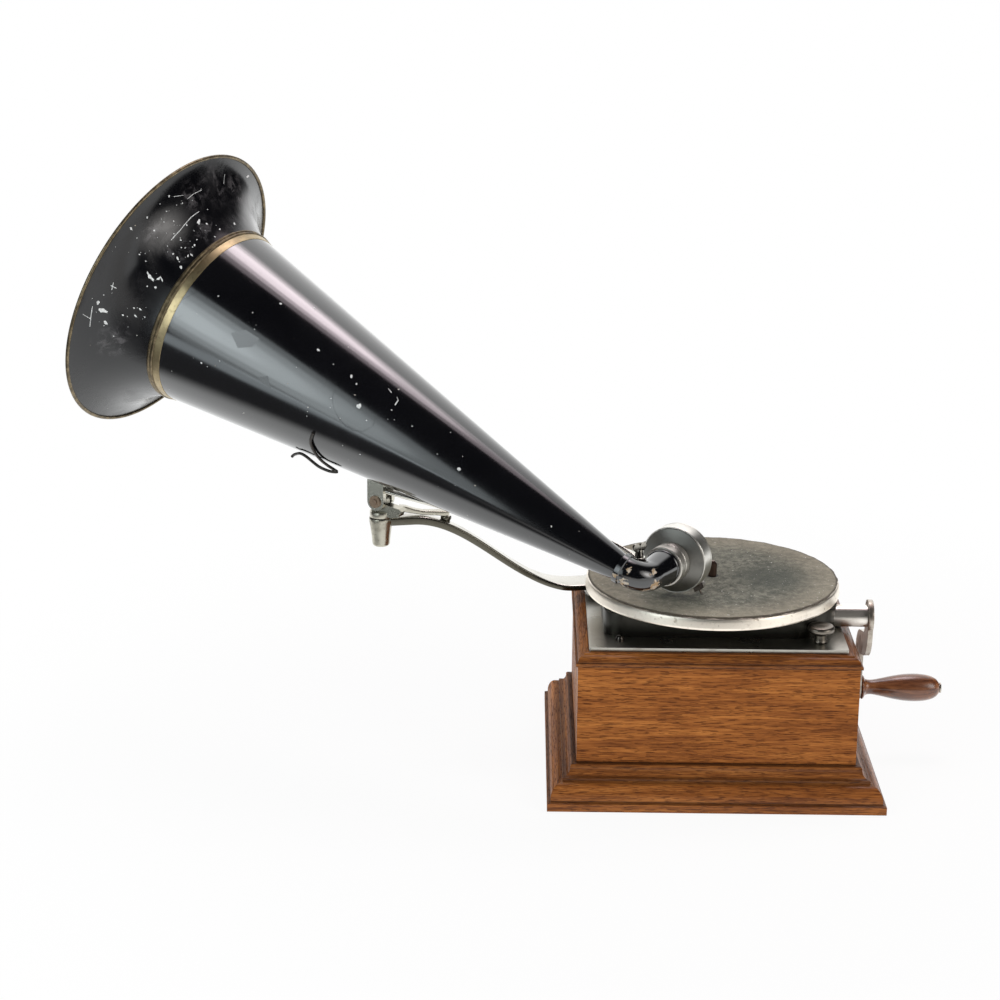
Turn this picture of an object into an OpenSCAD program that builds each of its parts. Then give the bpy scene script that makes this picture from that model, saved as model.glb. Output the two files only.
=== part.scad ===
// Travelling-horn disc gramophone, in millimetres.
// The origin is the centre of the plinth's underside, on the turntable's axis.
// +X points to the crank, -Y to the listener's side, +Z up.

/* [Case] */
// Half of the case's width, over the boards
case_half_w = 108.8; // [105:0.1:125]
// Half of the case's depth, over the boards
case_half_d = 95.4; // [92:0.1:110]
// Thickness of the case boards
board_t = 14; // [10:0.5:14]
// Height where the case boards end and the top strips begin
board_top = 111.8; // [110:0.1:112]
// Height of the boards' lower edge above the floor
board_lift = 2; // [0.5:0.5:4]
// How far the plinth stands out from the boards
plinth_reach = 22.6; // [20.4:0.1:26]
// Height of the plinth
plinth_h = 32.2; // [31:0.1:36]
// Thickness of the bottom board
bottom_t = 6; // [4:0.5:8]
// How far the top strips stand out from the boards
top_reach = 1.8; // [1:0.1:3]
// Height of the top strips' upper face
strip_top = 121; // [120.6:0.1:121.4]
// Width of the top strip that shows beside the plate
top_show = 8.6; // [8:0.1:9]

/* [Bed plate and housing] */
// Thickness of the bed plate
plate_t = 6.8; // [6.2:0.1:7]
// Height of the bed plate's upper face
plate_top = 124.2; // [123.6:0.1:124.2]
// Strip of plate that shows to the left of the motor housing
housing_left_gap = 12.2; // [8:0.1:16]
// Strip of plate that shows to the right of the motor housing
housing_right_gap = 3.2; // [2:0.1:6]
// Strip of plate that shows in front of the motor housing
housing_front_gap = 24.8; // [24.4:0.1:25.2]
// Strip of plate that shows behind the motor housing
housing_back_gap = 62.8; // [58:0.1:66]
// Height of the housing's upper face
housing_top = 143; // [142.5:0.1:144]
// Wall of the motor housing
housing_wall = 3; // [2.5:0.1:4]
// Radius of the housing's upright corners
housing_corner = 14; // [8:0.5:18]
// Radius of the housing's corner beside the speed screw
housing_end_r = 37; // [36:0.1:38]
// Distance of the plate bolts from the plate's left and right edges
bolt_side = 24.2; // [20:0.1:26]
// Distance of the plate bolts from the plate's front and back edges
bolt_end = 16.8; // [15:0.1:17]
// Radius of the plate bolts' round heads
bolt_head_r = 3.4; // [3:0.1:4]

/* [Turntable] */
// Radius of the turntable
table_r = 101.6; // [95:0.1:104]
// Height of the turntable's lower edge
table_z = 143.9; // [143.5:0.1:144]
// Depth of the turntable's rim
rim_h = 10; // [9.4:0.1:10.1]
// Thickness of the turntable's sheet
table_t = 2.2; // [1.5:0.1:3]
// Radius of the felt
felt_r = 99.6; // [90:0.1:101]
// Thickness of the felt
felt_t = 1; // [0.8:0.1:2]
// Radius of the spindle's pin, which takes the record's hole
spindle_r = 3.55; // [3.2:0.05:3.7]
// Radius of the spindle's shaft below the felt
shaft_r = 4; // [3.8:0.05:4.5]
// How far the spindle stands above the felt
spindle_rise = 12; // [8:0.5:16]

/* [Motor] */
// Room between the spring barrel's gear and the right board
barrel_side = 4; // [3:0.1:5.5]
// Room between the spring barrel's gear and the front board
barrel_front = 6.6; // [5.6:0.1:7.4]
// Radius of the spring barrel
barrel_r = 36; // [32:0.5:38]
// Module of the driving gears
drive_module = 1; // [1:0.01:1.02]
// Teeth of the spring barrel's gear
barrel_teeth = 84; // [84]
// Teeth of the second arbor's pinion
second_pinion_teeth = 14; // [14]
// Teeth of the second wheel
second_teeth = 60; // [60]
// Teeth of the spindle's pinion
spindle_pinion_teeth = 15; // [15]
// Module of the governor's gears
governor_module = 0.8; // [0.8:0.01:0.82]
// Teeth of the spindle wheel
spindle_wheel_teeth = 80; // [80]
// Teeth of the governor's pinion
governor_teeth = 12; // [12]
// Module of the winding gears
winding_module = 1.5; // [1.45:0.01:1.5]
// Teeth of the crown gear
crown_teeth = 30; // [30]
// Teeth of the crank shaft's pinion
winding_teeth = 10; // [10]
// Height of the motor base's underside
motor_z = 34; // [30:0.5:34]
// Turns of the mainspring
mainspring_turns = 8; // [5:1:10]

/* [Crank] */
// Height of the crank's axis
crank_z = 133; // [132.5:0.1:133.5]
// Radius of the crank shaft
crank_shaft_r = 5; // [4:0.1:5]
// Radius of the crank sleeve
sleeve_r = 8.7; // [7.5:0.1:9]
// How far the crank sleeve stands out from the right board
sleeve_reach = 11.6; // [8:0.1:15]
// Thickness of the crank arm
crank_t = 4; // [3:0.1:6]
// Half of the crank arm's width
crank_half = 9.5; // [8:0.1:11]
// Radius of the crank arm's hub
crank_hub_r = 13; // [11:0.1:15]
// How far the handle's axis is behind the crank's
crank_back = 42.6; // [40:0.1:45]
// How far the handle's axis is below the crank's
crank_drop = 77; // [74:0.1:78]
// Radius of the two bends of the crank arm
crank_bend_r = 15; // [12:0.1:16]
// Turn of each bend of the crank arm
crank_bend = 75; // [70:0.5:80]
// Straight run between the crank's hub and its first bend
crank_first = 13; // [8:0.5:16]
// Length of the wooden handle
handle_l = 64; // [55:0.5:75]
// Largest radius of the wooden handle
handle_r = 11.4; // [10:0.1:13]

/* [Speed screw] */
// Distance of the speed screw from the plate's right edge
speed_side = 20.2; // [19.2:0.1:21.2]
// Distance of the speed screw from the plate's front edge
speed_end = 17.8; // [16.8:0.1:18]
// Radius of the speed screw's head
speed_head_r = 10.5; // [8:0.1:12]

/* [Sound box] */
// Middle of the sound box's back edge along X
box_x = -35.5; // [-38:0.1:-33]
// Middle of the sound box's back edge along Y
box_y = -57; // [-59:0.1:-55]
// Middle of the sound box's back edge above the floor
box_z = 186; // [185.5:0.1:187]
// Heading of the sound box's axis, from +X
box_az = 62.5; // [60:0.1:65]
// Radius of the sound box
box_r = 26.6; // [25:0.1:27]
// Depth of the sound box's band
box_depth = 12; // [11.5:0.1:14]
// Lean of the stylus bar and needle from upright
needle_lean = 30; // [20:0.5:35]

/* [Horn] */
// Heading of the horn's axis, from +X
horn_az = 150.5; // [148:0.1:153]
// Rise of the horn's axis above level
horn_el = 21.6; // [20:0.1:23]
// Radius of the cone at the elbow
throat_r = 10.8; // [10.7:0.1:11.5]
// Length of the cone
cone_l = 407; // [380:1:420]
// Radius of the cone at the bell
cone_r = 75.6; // [70:0.1:80]
// Depth of the bell
bell_l = 45.7; // [40:0.1:50]
// Radius of the bell's mouth
bell_r = 120.4; // [112:0.1:125]
// Thickness of the horn's sheet
sheet_t = 0.9; // [0.8:0.1:1.4]
// Slope of the bell where it leaves the cone, from the horn's axis
bell_slope = 20; // [10:0.5:35]
// Radius of the elbow's tube
elbow_r = 11.4; // [11:0.1:11.8]
// Radius of the elbow's bore
elbow_bore = 8.6; // [7:0.1:9]
// Radius of the elbow's bend
bend_r = 15; // [14:0.1:18]
// Distance from the sound box's back edge to the corner of the elbow
elbow_run = 57; // [50:0.1:60]
// Length of the elbow's sleeve on the horn
neck_l = 5; // [4:0.1:8]

/* [Horn support] */
// Pivot along X
pivot_x = -265.8; // [-272:0.1:-260]
// Pivot along Y
pivot_y = 7.8; // [6:0.1:10]
// Height of the tilt pin
pivot_z = 213; // [212:0.1:214]
// Distance of the support arm's root from the plate's left edge
root_side = 15.2; // [12:0.1:20]
// Distance of the support arm's root from the plate's back edge
root_end = 40.8; // [37:0.1:43]
// Height of the support arm's low end
arm_low = 132.3; // [131.5:0.1:133]
// Height of the support arm's high end
arm_high = 195; // [193:0.1:195]
// Depth of the support arm's bar at its root
arm_root_h = 4.8; // [4:0.1:6]
// Depth of the support arm's bar at the socket
arm_end_h = 7; // [6:0.1:7]
// Half of the support arm's width at its root
arm_root_half = 13; // [11:0.1:14]
// Half of the support arm's width along its rise
arm_half = 6; // [5:0.1:7]
// Distance along the arm where its rise begins
rise_from = 26; // [20:0.5:34]
// Distance along the arm where its rise ends
rise_to = 160; // [150:0.5:164]
// Radius of the socket at its upper end
socket_r = 9.5; // [9:0.1:11]
// Radius of the socket at its lower end
socket_low_r = 7; // [6.8:0.1:8]
// Height of the socket's lower end
socket_z = 174.4; // [172:0.1:178]
// Radius of the swivel stem
stem_r = 5; // [4:0.1:5.2]
// Radius of the tilt pin
tilt_pin_r = 2.2; // [1.8:0.1:2.6]

/* [Clearances] */
// Radial clearance of running shafts
run_gap = 0.05; // [0.02:0.01:0.08]
// Gap between pieces that move past one another
free_gap = 0.4; // [0.3:0.05:0.6]
// Amount that each gear tooth is thinned
tooth_gap = 0.12; // [0.08:0.01:0.16]

/* [Hidden] */
$fn = 64;

wood = [0.5, 0.33, 0.17];
nickel = [0.72, 0.71, 0.68];
steel = [0.5, 0.5, 0.52];
brass = [0.72, 0.58, 0.3];
black = [0.08, 0.08, 0.11];
olive = [0.5, 0.5, 0.42];
weld = 0.5;

// Heights of the stack, from the plate up
plate_z = plate_top - plate_t;
plate_half_w = case_half_w - top_show;
plate_half_d = case_half_d - top_show;
housing_left = housing_left_gap - plate_half_w;
housing_right = plate_half_w - housing_right_gap;
housing_front = housing_front_gap - plate_half_d;
housing_back = plate_half_d - housing_back_gap;
bolt_x = plate_half_w - bolt_side;
bolt_y = plate_half_d - bolt_end;
speed_x = plate_half_w - speed_side;
speed_y = speed_end - plate_half_d;
root_x = root_side - plate_half_w;
root_y = plate_half_d - root_end;
sleeve_end = case_half_w + sleeve_reach;
felt_z = table_z + rim_h;
felt_top = felt_z + felt_t;

// Vectors of the horn, the elbow and the sound box
function unit(v) = v / norm(v);
horn_dir = [cos(horn_el) * cos(horn_az), cos(horn_el) * sin(horn_az), sin(horn_el)];
horn_down = [sin(horn_el) * cos(horn_az), sin(horn_el) * sin(horn_az), -cos(horn_el)];
horn_near = [-sin(horn_az), cos(horn_az), 0];
box_dir = [cos(box_az), sin(box_az), 0];
box_pos = [box_x, box_y, box_z];
elbow_corner = box_pos - box_dir * elbow_run;
bend_angle = acos(-(horn_dir * box_dir));
bend_tangent = bend_r * tan(bend_angle / 2);
bend_in = unit(box_dir - (box_dir * horn_dir) * horn_dir);
bend_start = elbow_corner + horn_dir * bend_tangent;
bend_centre = bend_start + bend_in * bend_r;
horn_pos = bend_start + horn_dir * neck_l;
pivot_pos = [pivot_x, pivot_y, pivot_z];
function to_horn(p) = [(p - horn_pos) * horn_down, (p - horn_pos) * horn_near, (p - horn_pos) * horn_dir];

// Gear proportions, then the gear centres from the spindle outwards
pressure = 25;
tip_k = 0.8;
root_k = 1.1;
second_run = drive_module * (second_teeth + spindle_pinion_teeth) / 2;
barrel_run = drive_module * (barrel_teeth + second_pinion_teeth) / 2;
barrel_tip_r = drive_module * (barrel_teeth / 2 + tip_k);
barrel_x = case_half_w - board_t - barrel_tip_r - barrel_side;
barrel_y = barrel_front + barrel_tip_r + board_t - case_half_d;
barrel_pos = [barrel_x, barrel_y, 0];
barrel_far = norm(barrel_pos);
second_along =
    (second_run * second_run + barrel_far * barrel_far - barrel_run * barrel_run) / (2 * barrel_far);
second_aside = sqrt(second_run * second_run - second_along * second_along);
barrel_unit = barrel_pos / barrel_far;
second_pos = barrel_unit * second_along + [-barrel_unit.y, barrel_unit.x, 0] * second_aside;
governor_run = governor_module * (spindle_wheel_teeth + governor_teeth) / 2;
governor_az = 200;
governor_pos = governor_run * [cos(governor_az), sin(governor_az), 0];
function heading(from, to) = atan2(to.y - from.y, to.x - from.x);

// Levels inside the case
base_t = 4;
motor_top = motor_z + base_t;
barrel_gear_z = motor_top + 2;
gear_t = 5;
drum_h = 43;
drum_z = barrel_gear_z + gear_t;
drum_top = drum_z + drum_h;
lid_t = 3;
second_wheel_z = 95;
wheel_t = 4;
spindle_wheel_z = 103;
thin_wheel_t = 3;
disc_z = 95;
disc_t = 2;
lever_z = disc_z + disc_t + free_gap;
lever_t = 4;
arbor_r = 5;
thin_arbor_r = 3;
governor_shaft_r = 2.5;
crown_pitch_z = crank_z - winding_module * winding_teeth / 2;
crown_run = winding_module * crown_teeth / 2;
crown_face = 5;
crown_t = 1.9;
crown_room = 0.5;
crown_root_z = crown_pitch_z - 1.1 * winding_module;

module place(p, x, y, z)
    multmatrix([[x.x, y.x, z.x, p.x], [x.y, y.y, z.y, p.y], [x.z, y.z, z.z, p.z], [0, 0, 0, 1]]) children();
// Horn frame: +Z along the horn, +X to its underside, +Y to the listener
module in_horn() place(horn_pos, horn_down, horn_near, horn_dir) children();
// Sound box frame: +Z away from the elbow, +X to the right, +Y down
module in_box() translate(box_pos) rotate([-90, 0, box_az - 90]) children();
// Pivot frame: level, +X under the horn towards its bell, +Y to the listener
module in_pivot() translate(pivot_pos) rotate([0, 0, horn_az]) children();
module tube(r, bore, h)
    difference() {
        cylinder(r = r, h = h);
        translate([0, 0, -1]) cylinder(r = bore, h = h + 2);
    }
module round_rect(x0, x1, y0, y1, r) {
    translate([x0 + r, y0]) square([x1 - x0 - 2 * r, y1 - y0]);
    translate([x0, y0 + r]) square([x1 - x0, y1 - y0 - 2 * r]);
    for (x = [x0 + r, x1 - r], y = [y0 + r, y1 - r]) translate([x, y]) circle(r);
}
function arc(cx, cy, rx, ry, a0, a1, steps) =
    [for (i = [0:steps]) let (a = a0 + (a1 - a0) * i / steps) [cx + rx * cos(a), cy + ry * sin(a)]];

// Involute teeth with short tips, so that small pinions need no undercut
function inv(r, rb) = let (a = acos(min(1, rb / r))) tan(a) * 180 / PI - a;
function tooth_half(r, n, m) =
    let (rp = n * m / 2, rb = rp * cos(pressure))
    90 / n - tooth_gap / 2 / rp * 180 / PI + inv(rp, rb) - inv(max(r, rb), rb);
function gear_radii(n, m) =
    let (rp = n * m / 2, rr = rp - root_k * m, rs = max(rr, rp * cos(pressure)), ro = rp + tip_k * m)
    concat(rr < rs ? [rr] : [], [for (k = [0:3]) rs + (ro - rs) * k / 3]);
function gear_outline(n, m) =
    let (radii = gear_radii(n, m), last = len(radii) - 1)
    [for (i = [0:n - 1], k = [0:2 * last + 1])
        let (j = k <= last ? k : 2 * last + 1 - k, r = radii[j], h = tooth_half(r, n, m))
        let (a = i * 360 / n + (k <= last ? -h : h))
        r * [cos(a), sin(a)]];
module gear(n, m, h) linear_extrude(h) polygon(gear_outline(n, m));

// Case
// Plinth from the floor up: a flat foot, a large round, a step, a hollow and a small round
foot_h = 6.4;
round_w = 7.8;
round_h = 12;
step_h = 2.4;
hollow_r = 5.6;
nose_r = 2.2;
plinth_profile = concat(
    [[0, 0], [plinth_reach, 0], [plinth_reach, foot_h], [plinth_reach - 2.6, foot_h + 1.2]],
    arc(plinth_reach - 2.6 - round_w, foot_h + 2, round_w, round_h, 0, 90, 8),
    [[plinth_reach - 12, foot_h + 2 + round_h], [plinth_reach - 12, foot_h + 2 + round_h + step_h]],
    arc(plinth_reach - 12.4, plinth_h - nose_r, hollow_r, plinth_h - nose_r - foot_h - 2.4 - round_h - step_h,
        -90, -180, 6),
    arc(plinth_reach - 12.4 - hollow_r - nose_r + 0.2, plinth_h - nose_r, nose_r, nose_r, 0, 90, 4),
    [[0, plinth_h]]);
top_rise = strip_top + 0.4 - board_top;
top_profile = concat(
    [[-board_t, 0], [top_reach, 0], [top_reach, 2.2], [top_reach - 1, 2.8]],
    arc(-4.6, 2.8, 4.8, top_rise - 4.4, 0, 90, 8),
    [[-4.8, top_rise - 0.4], [-top_show, top_rise - 0.4], [-top_show, plate_z - board_top],
     [-board_t, plate_z - board_top]]);
// A strip of the given profile along one side, mitred at both ends
// Sides are 0 front, 1 right, 2 back, 3 left
module mitred_strip(profile, side) {
    across = side % 2 == 0 ? case_half_w : case_half_d;
    outward = side % 2 == 0 ? case_half_d : case_half_w;
    long = across + plinth_reach;
    cut = 4 * long;
    rotate([0, 0, 90 * side]) difference() {
        translate([-long, 0, 0]) rotate([90, 0, 90]) linear_extrude(2 * long)
            polygon([for (p = profile) [-outward - p.x, p.y]]);
        for (s = [-1, 1]) translate([s * across, -outward, -1]) rotate([0, 0, 90 - s * 45])
            translate([0, -cut / 2, 0]) cube([cut, cut, 2 * plate_top]);
    }
}
module base_strip(side) color(wood) mitred_strip(plinth_profile, side);
module top_strip(side) color(wood) translate([0, 0, board_top]) mitred_strip(top_profile, side);
module case_board(half_l, half_d) color(wood)
    translate([-half_l, -half_d, board_lift]) cube([2 * half_l, board_t, board_top - board_lift]);
module base_strip_front() base_strip(0);
module base_strip_right() base_strip(1);
module base_strip_back() base_strip(2);
module base_strip_left() base_strip(3);
module top_strip_front() top_strip(0);
module top_strip_right() top_strip(1);
module top_strip_back() top_strip(2);
module top_strip_left() top_strip(3);
module case_front() case_board(case_half_w, case_half_d);
module case_back() rotate([0, 0, 180]) case_board(case_half_w, case_half_d);
module case_right() rotate([0, 0, 90]) case_board(case_half_d - board_t, case_half_w);
module case_left() rotate([0, 0, -90]) case_board(case_half_d - board_t, case_half_w);
module bottom_board() color(wood)
    translate([board_t - case_half_w, board_t - case_half_d, 0])
        cube([2 * (case_half_w - board_t), 2 * (case_half_d - board_t), bottom_t]);

// Bed plate and what is bolted to it
bolt_spots = [[-bolt_x, -bolt_y, 0], [-bolt_x, bolt_y, 0], [bolt_x, bolt_y, 0]];
bolt_r = 2.5;
bolt_l = 14;
pillar_r = 5;
module bed_plate() color(nickel) difference() {
    translate([0, 0, plate_z]) linear_extrude(plate_t)
        round_rect(-plate_half_w, plate_half_w, -plate_half_d, plate_half_d, 1.5);
    translate([0, 0, crown_root_z - crown_t - crown_room]) translate(barrel_pos)
        cylinder(r = crown_run + crown_face / 2 + crown_room, h = plate_t);
    translate([0, 0, plate_z - 1]) {
        cylinder(r = shaft_r + 1, h = plate_t + 2);
        translate(barrel_pos) cylinder(r = arbor_r + run_gap, h = plate_t + 2);
        translate(second_pos) cylinder(r = thin_arbor_r + run_gap, h = plate_t + 2);
        translate(governor_pos) cylinder(r = governor_shaft_r + run_gap, h = plate_t + 2);
        translate([speed_x, speed_y, 0]) cylinder(r = speed_stem_r + run_gap, h = plate_t + 2);
        for (p = bolt_spots) translate(p) cylinder(r = bolt_r + run_gap, h = plate_t + 2);
        for (p = arm_screw_spots) translate(p) cylinder(r = arm_screw_r + run_gap, h = plate_t + 2);
    }
}
shaft_end = barrel_x + 9;
sleeve_from = housing_right - 8;
lug_t = 5;
lug_wall = 4;
bearing_r = 9;
bearing_h = housing_top - plate_top - 12;
module housing_outline(inset) {
    difference() {
        round_rect(housing_left + inset, housing_right - inset, housing_front + inset, housing_back - inset,
                   housing_corner - inset);
        translate([housing_right - housing_end_r, housing_front]) square(housing_end_r);
    }
    translate([housing_right - housing_end_r, housing_front + housing_end_r]) circle(housing_end_r - inset);
}
// The pinion on the crank shaft reaches into the roof, which has a raised hump over it
hump_wall = 2;
pinion_reach = winding_module * (winding_teeth / 2 + tip_k) + free_gap;
pinion_from = barrel_x + crown_run - crown_face / 2 - free_gap;
module pinion_room(wall) translate([pinion_from - wall, barrel_y, crank_z]) rotate([0, 90, 0])
    cylinder(r = pinion_reach + wall, h = crown_face + 2 * (free_gap + wall));
module motor_housing() color(nickel) difference() {
    union() {
        intersection() {
            pinion_room(hump_wall);
            translate([0, housing_front, housing_top - housing_wall / 2])
                cube([housing_right, housing_back - housing_front, pinion_reach]);
        }
        difference() {
            translate([0, 0, plate_top]) linear_extrude(housing_top - plate_top) housing_outline(0);
            translate([0, 0, plate_top - 1]) linear_extrude(housing_top - plate_top + 1 - housing_wall)
                housing_outline(housing_wall);
        }
        translate([shaft_end, barrel_y - crank_shaft_r - lug_wall, crown_root_z + 1])
            cube([lug_t, 2 * (crank_shaft_r + lug_wall), housing_top - housing_wall - crown_root_z]);
        translate([0, 0, housing_top - bearing_h]) cylinder(r = bearing_r, h = bearing_h - 1);
    }
    translate([0, 0, plate_top]) cylinder(r = shaft_r + run_gap, h = housing_top);
    translate([shaft_end - 1, barrel_y, crank_z]) rotate([0, 90, 0])
        cylinder(r = crank_shaft_r + run_gap, h = lug_t + 2);
    translate([sleeve_from - 2, barrel_y, crank_z]) rotate([0, 90, 0]) cylinder(r = sleeve_r, h = sleeve_end);
    pinion_room(0);
}
module plate_bolts() color(steel) for (p = bolt_spots) translate(p) {
    translate([0, 0, plate_top - bolt_l]) cylinder(r = bolt_r, h = bolt_l + 1);
    translate([0, 0, plate_top]) difference() {
        translate([0, 0, bolt_head_r * 0.45]) sphere(bolt_head_r);
        translate([-20, -20, -40]) cube(40);
    }
}
base_room = 3.4;
base_half_w = case_half_w - board_t - base_room;
base_half_d = case_half_d - board_t - base_room;
module motor_base() color(steel) difference() {
    translate([0, 0, motor_z]) linear_extrude(base_t)
        round_rect(-base_half_w, base_half_w, -base_half_d, base_half_d, 8);
    translate([0, 0, motor_z - 1]) {
        cylinder(r = shaft_r + run_gap, h = base_t + 2);
        translate(barrel_pos) cylinder(r = arbor_r + run_gap, h = base_t + 2);
        translate(second_pos) cylinder(r = thin_arbor_r + run_gap, h = base_t + 2);
        translate(governor_pos) cylinder(r = governor_shaft_r + run_gap, h = base_t + 2);
    }
}
module motor_pillars() color(steel) for (p = bolt_spots) translate(p) difference() {
    translate([0, 0, motor_top]) cylinder(r = pillar_r, h = plate_z - motor_top);
    translate([0, 0, plate_top - bolt_l - 1]) cylinder(r = bolt_r + run_gap, h = bolt_l + 2);
}

// Spring barrel and winding gears
drum_wall = 1.5;
module spring_barrel() color(brass) translate(barrel_pos) difference() {
    union() {
        translate([0, 0, barrel_gear_z]) rotate([0, 0, heading(barrel_pos, second_pos)])
            gear(barrel_teeth, drive_module, gear_t);
        translate([0, 0, drum_z - weld]) cylinder(r = barrel_r, h = drum_top - drum_z + weld);
    }
    translate([0, 0, drum_z]) cylinder(r = barrel_r - drum_wall, h = 2 * drum_h);
    cylinder(r = arbor_r + run_gap, h = drum_top);
}
module barrel_lid() color(brass) translate(barrel_pos) translate([0, 0, drum_top])
    tube(barrel_r, arbor_r + run_gap, lid_t);
spring_in = arbor_r + 2;
spring_out = barrel_r - drum_wall - 1;
spring_t = 0.9;
spring_margin = 2;
function coil_r(i, n) = spring_in + (spring_out - spring_in) * i / n;
module mainspring() color(steel) translate(barrel_pos) translate([0, 0, drum_z + spring_margin])
    linear_extrude(drum_top - drum_z - 2 * spring_margin)
        let (n = 24 * mainspring_turns)
        polygon(concat(
            [for (i = [0:n]) coil_r(i, n) * [cos(15 * i), sin(15 * i)]],
            [for (i = [n:-1:0]) (coil_r(i, n) - spring_t) * [cos(15 * i), sin(15 * i)]]));
module winding_arbor() color(steel) translate(barrel_pos) translate([0, 0, motor_z])
    cylinder(r = arbor_r, h = crown_root_z - motor_z + 0.5);
crown_tooth = winding_module * 1;
crown_corners = [[-1, -root_k - 0.2], [1, -root_k - 0.2], [1, tip_k], [-1, tip_k]];
module crown_gear() color(brass) translate(barrel_pos) {
    translate([0, 0, crown_root_z - crown_t]) tube(crown_run + crown_face / 2, arbor_r, crown_t);
    for (i = [0:crown_teeth - 1]) rotate([0, 0, i * 360 / crown_teeth])
        translate([crown_run - crown_face / 2, 0, crown_pitch_z]) rotate([90, 0, 90])
            linear_extrude(crown_face * 0.97) polygon([for (p = crown_corners)
                [p.x * (crown_tooth / 2 - p.y * winding_module * tan(pressure)), p.y * winding_module]]);
}
shaft_show = 1;
module crank_shaft() color(steel) translate([0, barrel_y, crank_z]) rotate([0, 90, 0]) {
    translate([0, 0, shaft_end]) cylinder(r = crank_shaft_r, h = crank_x + crank_t + shaft_show - shaft_end);
    translate([0, 0, barrel_x + crown_run - crown_face / 2]) rotate([0, 0, 180 / winding_teeth])
        gear(winding_teeth, winding_module, crown_face);
}
module crank_sleeve() color(nickel) translate([sleeve_from, barrel_y, crank_z])
    rotate([0, 90, 0]) tube(sleeve_r, crank_shaft_r + run_gap, sleeve_end - sleeve_from);

// Crank, drawn in its own plane: x to the back, y up, thickness along the crank's axis
crank_x = sleeve_end + free_gap;
crank_mid = (crank_back - 2 * crank_bend_r * (1 - cos(crank_bend))) / sin(crank_bend);
handle_pin_r = 3;
crank_steps = 10;
crank_tilt = crank_bend - 90;
crank_first_bend = [for (i = [0:crank_steps]) let (t = crank_bend * i / crank_steps)
    [crank_bend_r * (1 - cos(t)), -crank_first - crank_bend_r * sin(t), t - 90]];
crank_turned = crank_first_bend[crank_steps];
crank_second_centre = [crank_turned.x + crank_mid * cos(crank_tilt) + crank_bend_r * sin(crank_tilt),
                       crank_turned.y + crank_mid * sin(crank_tilt) - crank_bend_r * cos(crank_tilt)];
crank_second_bend = [for (i = [0:crank_steps]) let (t = crank_tilt - crank_bend * i / crank_steps)
    [crank_second_centre.x - crank_bend_r * sin(t), crank_second_centre.y + crank_bend_r * cos(t), t]];
crank_path = concat([[0, 0, -90]], crank_first_bend, crank_second_bend);
function crank_edge(p, side) = [p.x - side * crank_half * sin(p.z), p.y + side * crank_half * cos(p.z)];
crank_outline = concat(
    [for (p = crank_path) crank_edge(p, 1)],
    arc(crank_back, -crank_drop, crank_half, crank_half, 0, -180, 12),
    [for (i = [len(crank_path) - 1:-1:0]) crank_edge(crank_path[i], -1)]);
pin_head_r = handle_pin_r + 1.2;
pin_head_t = 1.2;
module crank_arm() color(nickel) translate([crank_x, barrel_y, crank_z]) rotate([90, 0, 90]) difference() {
    union() {
        cylinder(r = crank_hub_r, h = crank_t);
        linear_extrude(crank_t) polygon(crank_outline);
        translate([crank_back, -crank_drop, crank_t - weld]) {
            cylinder(r = handle_pin_r, h = handle_l + 2 * free_gap + 2 * weld);
            translate([0, 0, weld + handle_l + 2 * free_gap]) cylinder(r = pin_head_r, h = pin_head_t);
        }
    }
    translate([0, 0, -1]) cylinder(r = crank_shaft_r, h = crank_t + 2);
}
handle_profile = concat(
    [[handle_pin_r + run_gap, 0], [9.4, 0], [10.2, 1.2], [9.4, 2.6], [6.4, 4.4], [6.2, 7]],
    [for (i = [0:8]) let (t = i / 8)
        [6.4 + (handle_r - 6.4) * (1 - cos(180 * t)) / 2, 9 + t * 28]],
    arc(handle_r - 6, 52, 6, 11, 0, 80, 6),
    [[handle_pin_r + run_gap, handle_l]]);
module crank_handle() color([0.3, 0.13, 0.08])
    translate([crank_x + crank_t + free_gap, barrel_y + crank_back, crank_z - crank_drop]) rotate([0, 90, 0])
        rotate_extrude() polygon(handle_profile);

// Train from the barrel to the spindle and the governor
module second_arbor() color(steel) translate(second_pos) {
    translate([0, 0, motor_z]) cylinder(r = thin_arbor_r, h = plate_top - motor_z);
    translate([0, 0, barrel_gear_z - 1])
        rotate([0, 0, heading(second_pos, barrel_pos) + 180 / second_pinion_teeth])
            gear(second_pinion_teeth, drive_module, gear_t + 2);
}
module second_wheel() color(brass) translate(second_pos) translate([0, 0, second_wheel_z]) difference() {
    rotate([0, 0, heading(second_pos, [0, 0, 0])]) gear(second_teeth, drive_module, wheel_t);
    translate([0, 0, -1]) cylinder(r = thin_arbor_r, h = wheel_t + 2);
}
tip_h = 2;
neck_rise = 0.5;
neck_cut = 0.6;
module spindle() color([0.5, 0.42, 0.36]) {
    translate([0, 0, motor_z]) cylinder(r = shaft_r, h = felt_z - motor_z);
    translate([0, 0, felt_z - weld]) cylinder(r = spindle_r - neck_cut, h = felt_t + neck_rise + 2 * weld);
    translate([0, 0, felt_top + neck_rise]) cylinder(r = spindle_r, h = spindle_rise - tip_h - neck_rise);
    translate([0, 0, felt_top + spindle_rise - tip_h]) cylinder(r1 = spindle_r, r2 = 1.6, h = tip_h);
    translate([0, 0, second_wheel_z - 1])
        rotate([0, 0, heading([0, 0, 0], second_pos) + 180 / spindle_pinion_teeth])
            gear(spindle_pinion_teeth, drive_module, wheel_t + 2);
}
module spindle_wheel() color(brass) translate([0, 0, spindle_wheel_z]) difference() {
    rotate([0, 0, governor_az]) gear(spindle_wheel_teeth, governor_module, thin_wheel_t);
    translate([0, 0, -1]) cylinder(r = shaft_r, h = thin_wheel_t + 2);
}
disc_r = 16;
collar_r = 6;
low_collar_z = 48;
collar_h = 6;
weight_run = 19;
weight_r = 6;
weight_z = (low_collar_z + disc_z) / 2;
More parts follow.
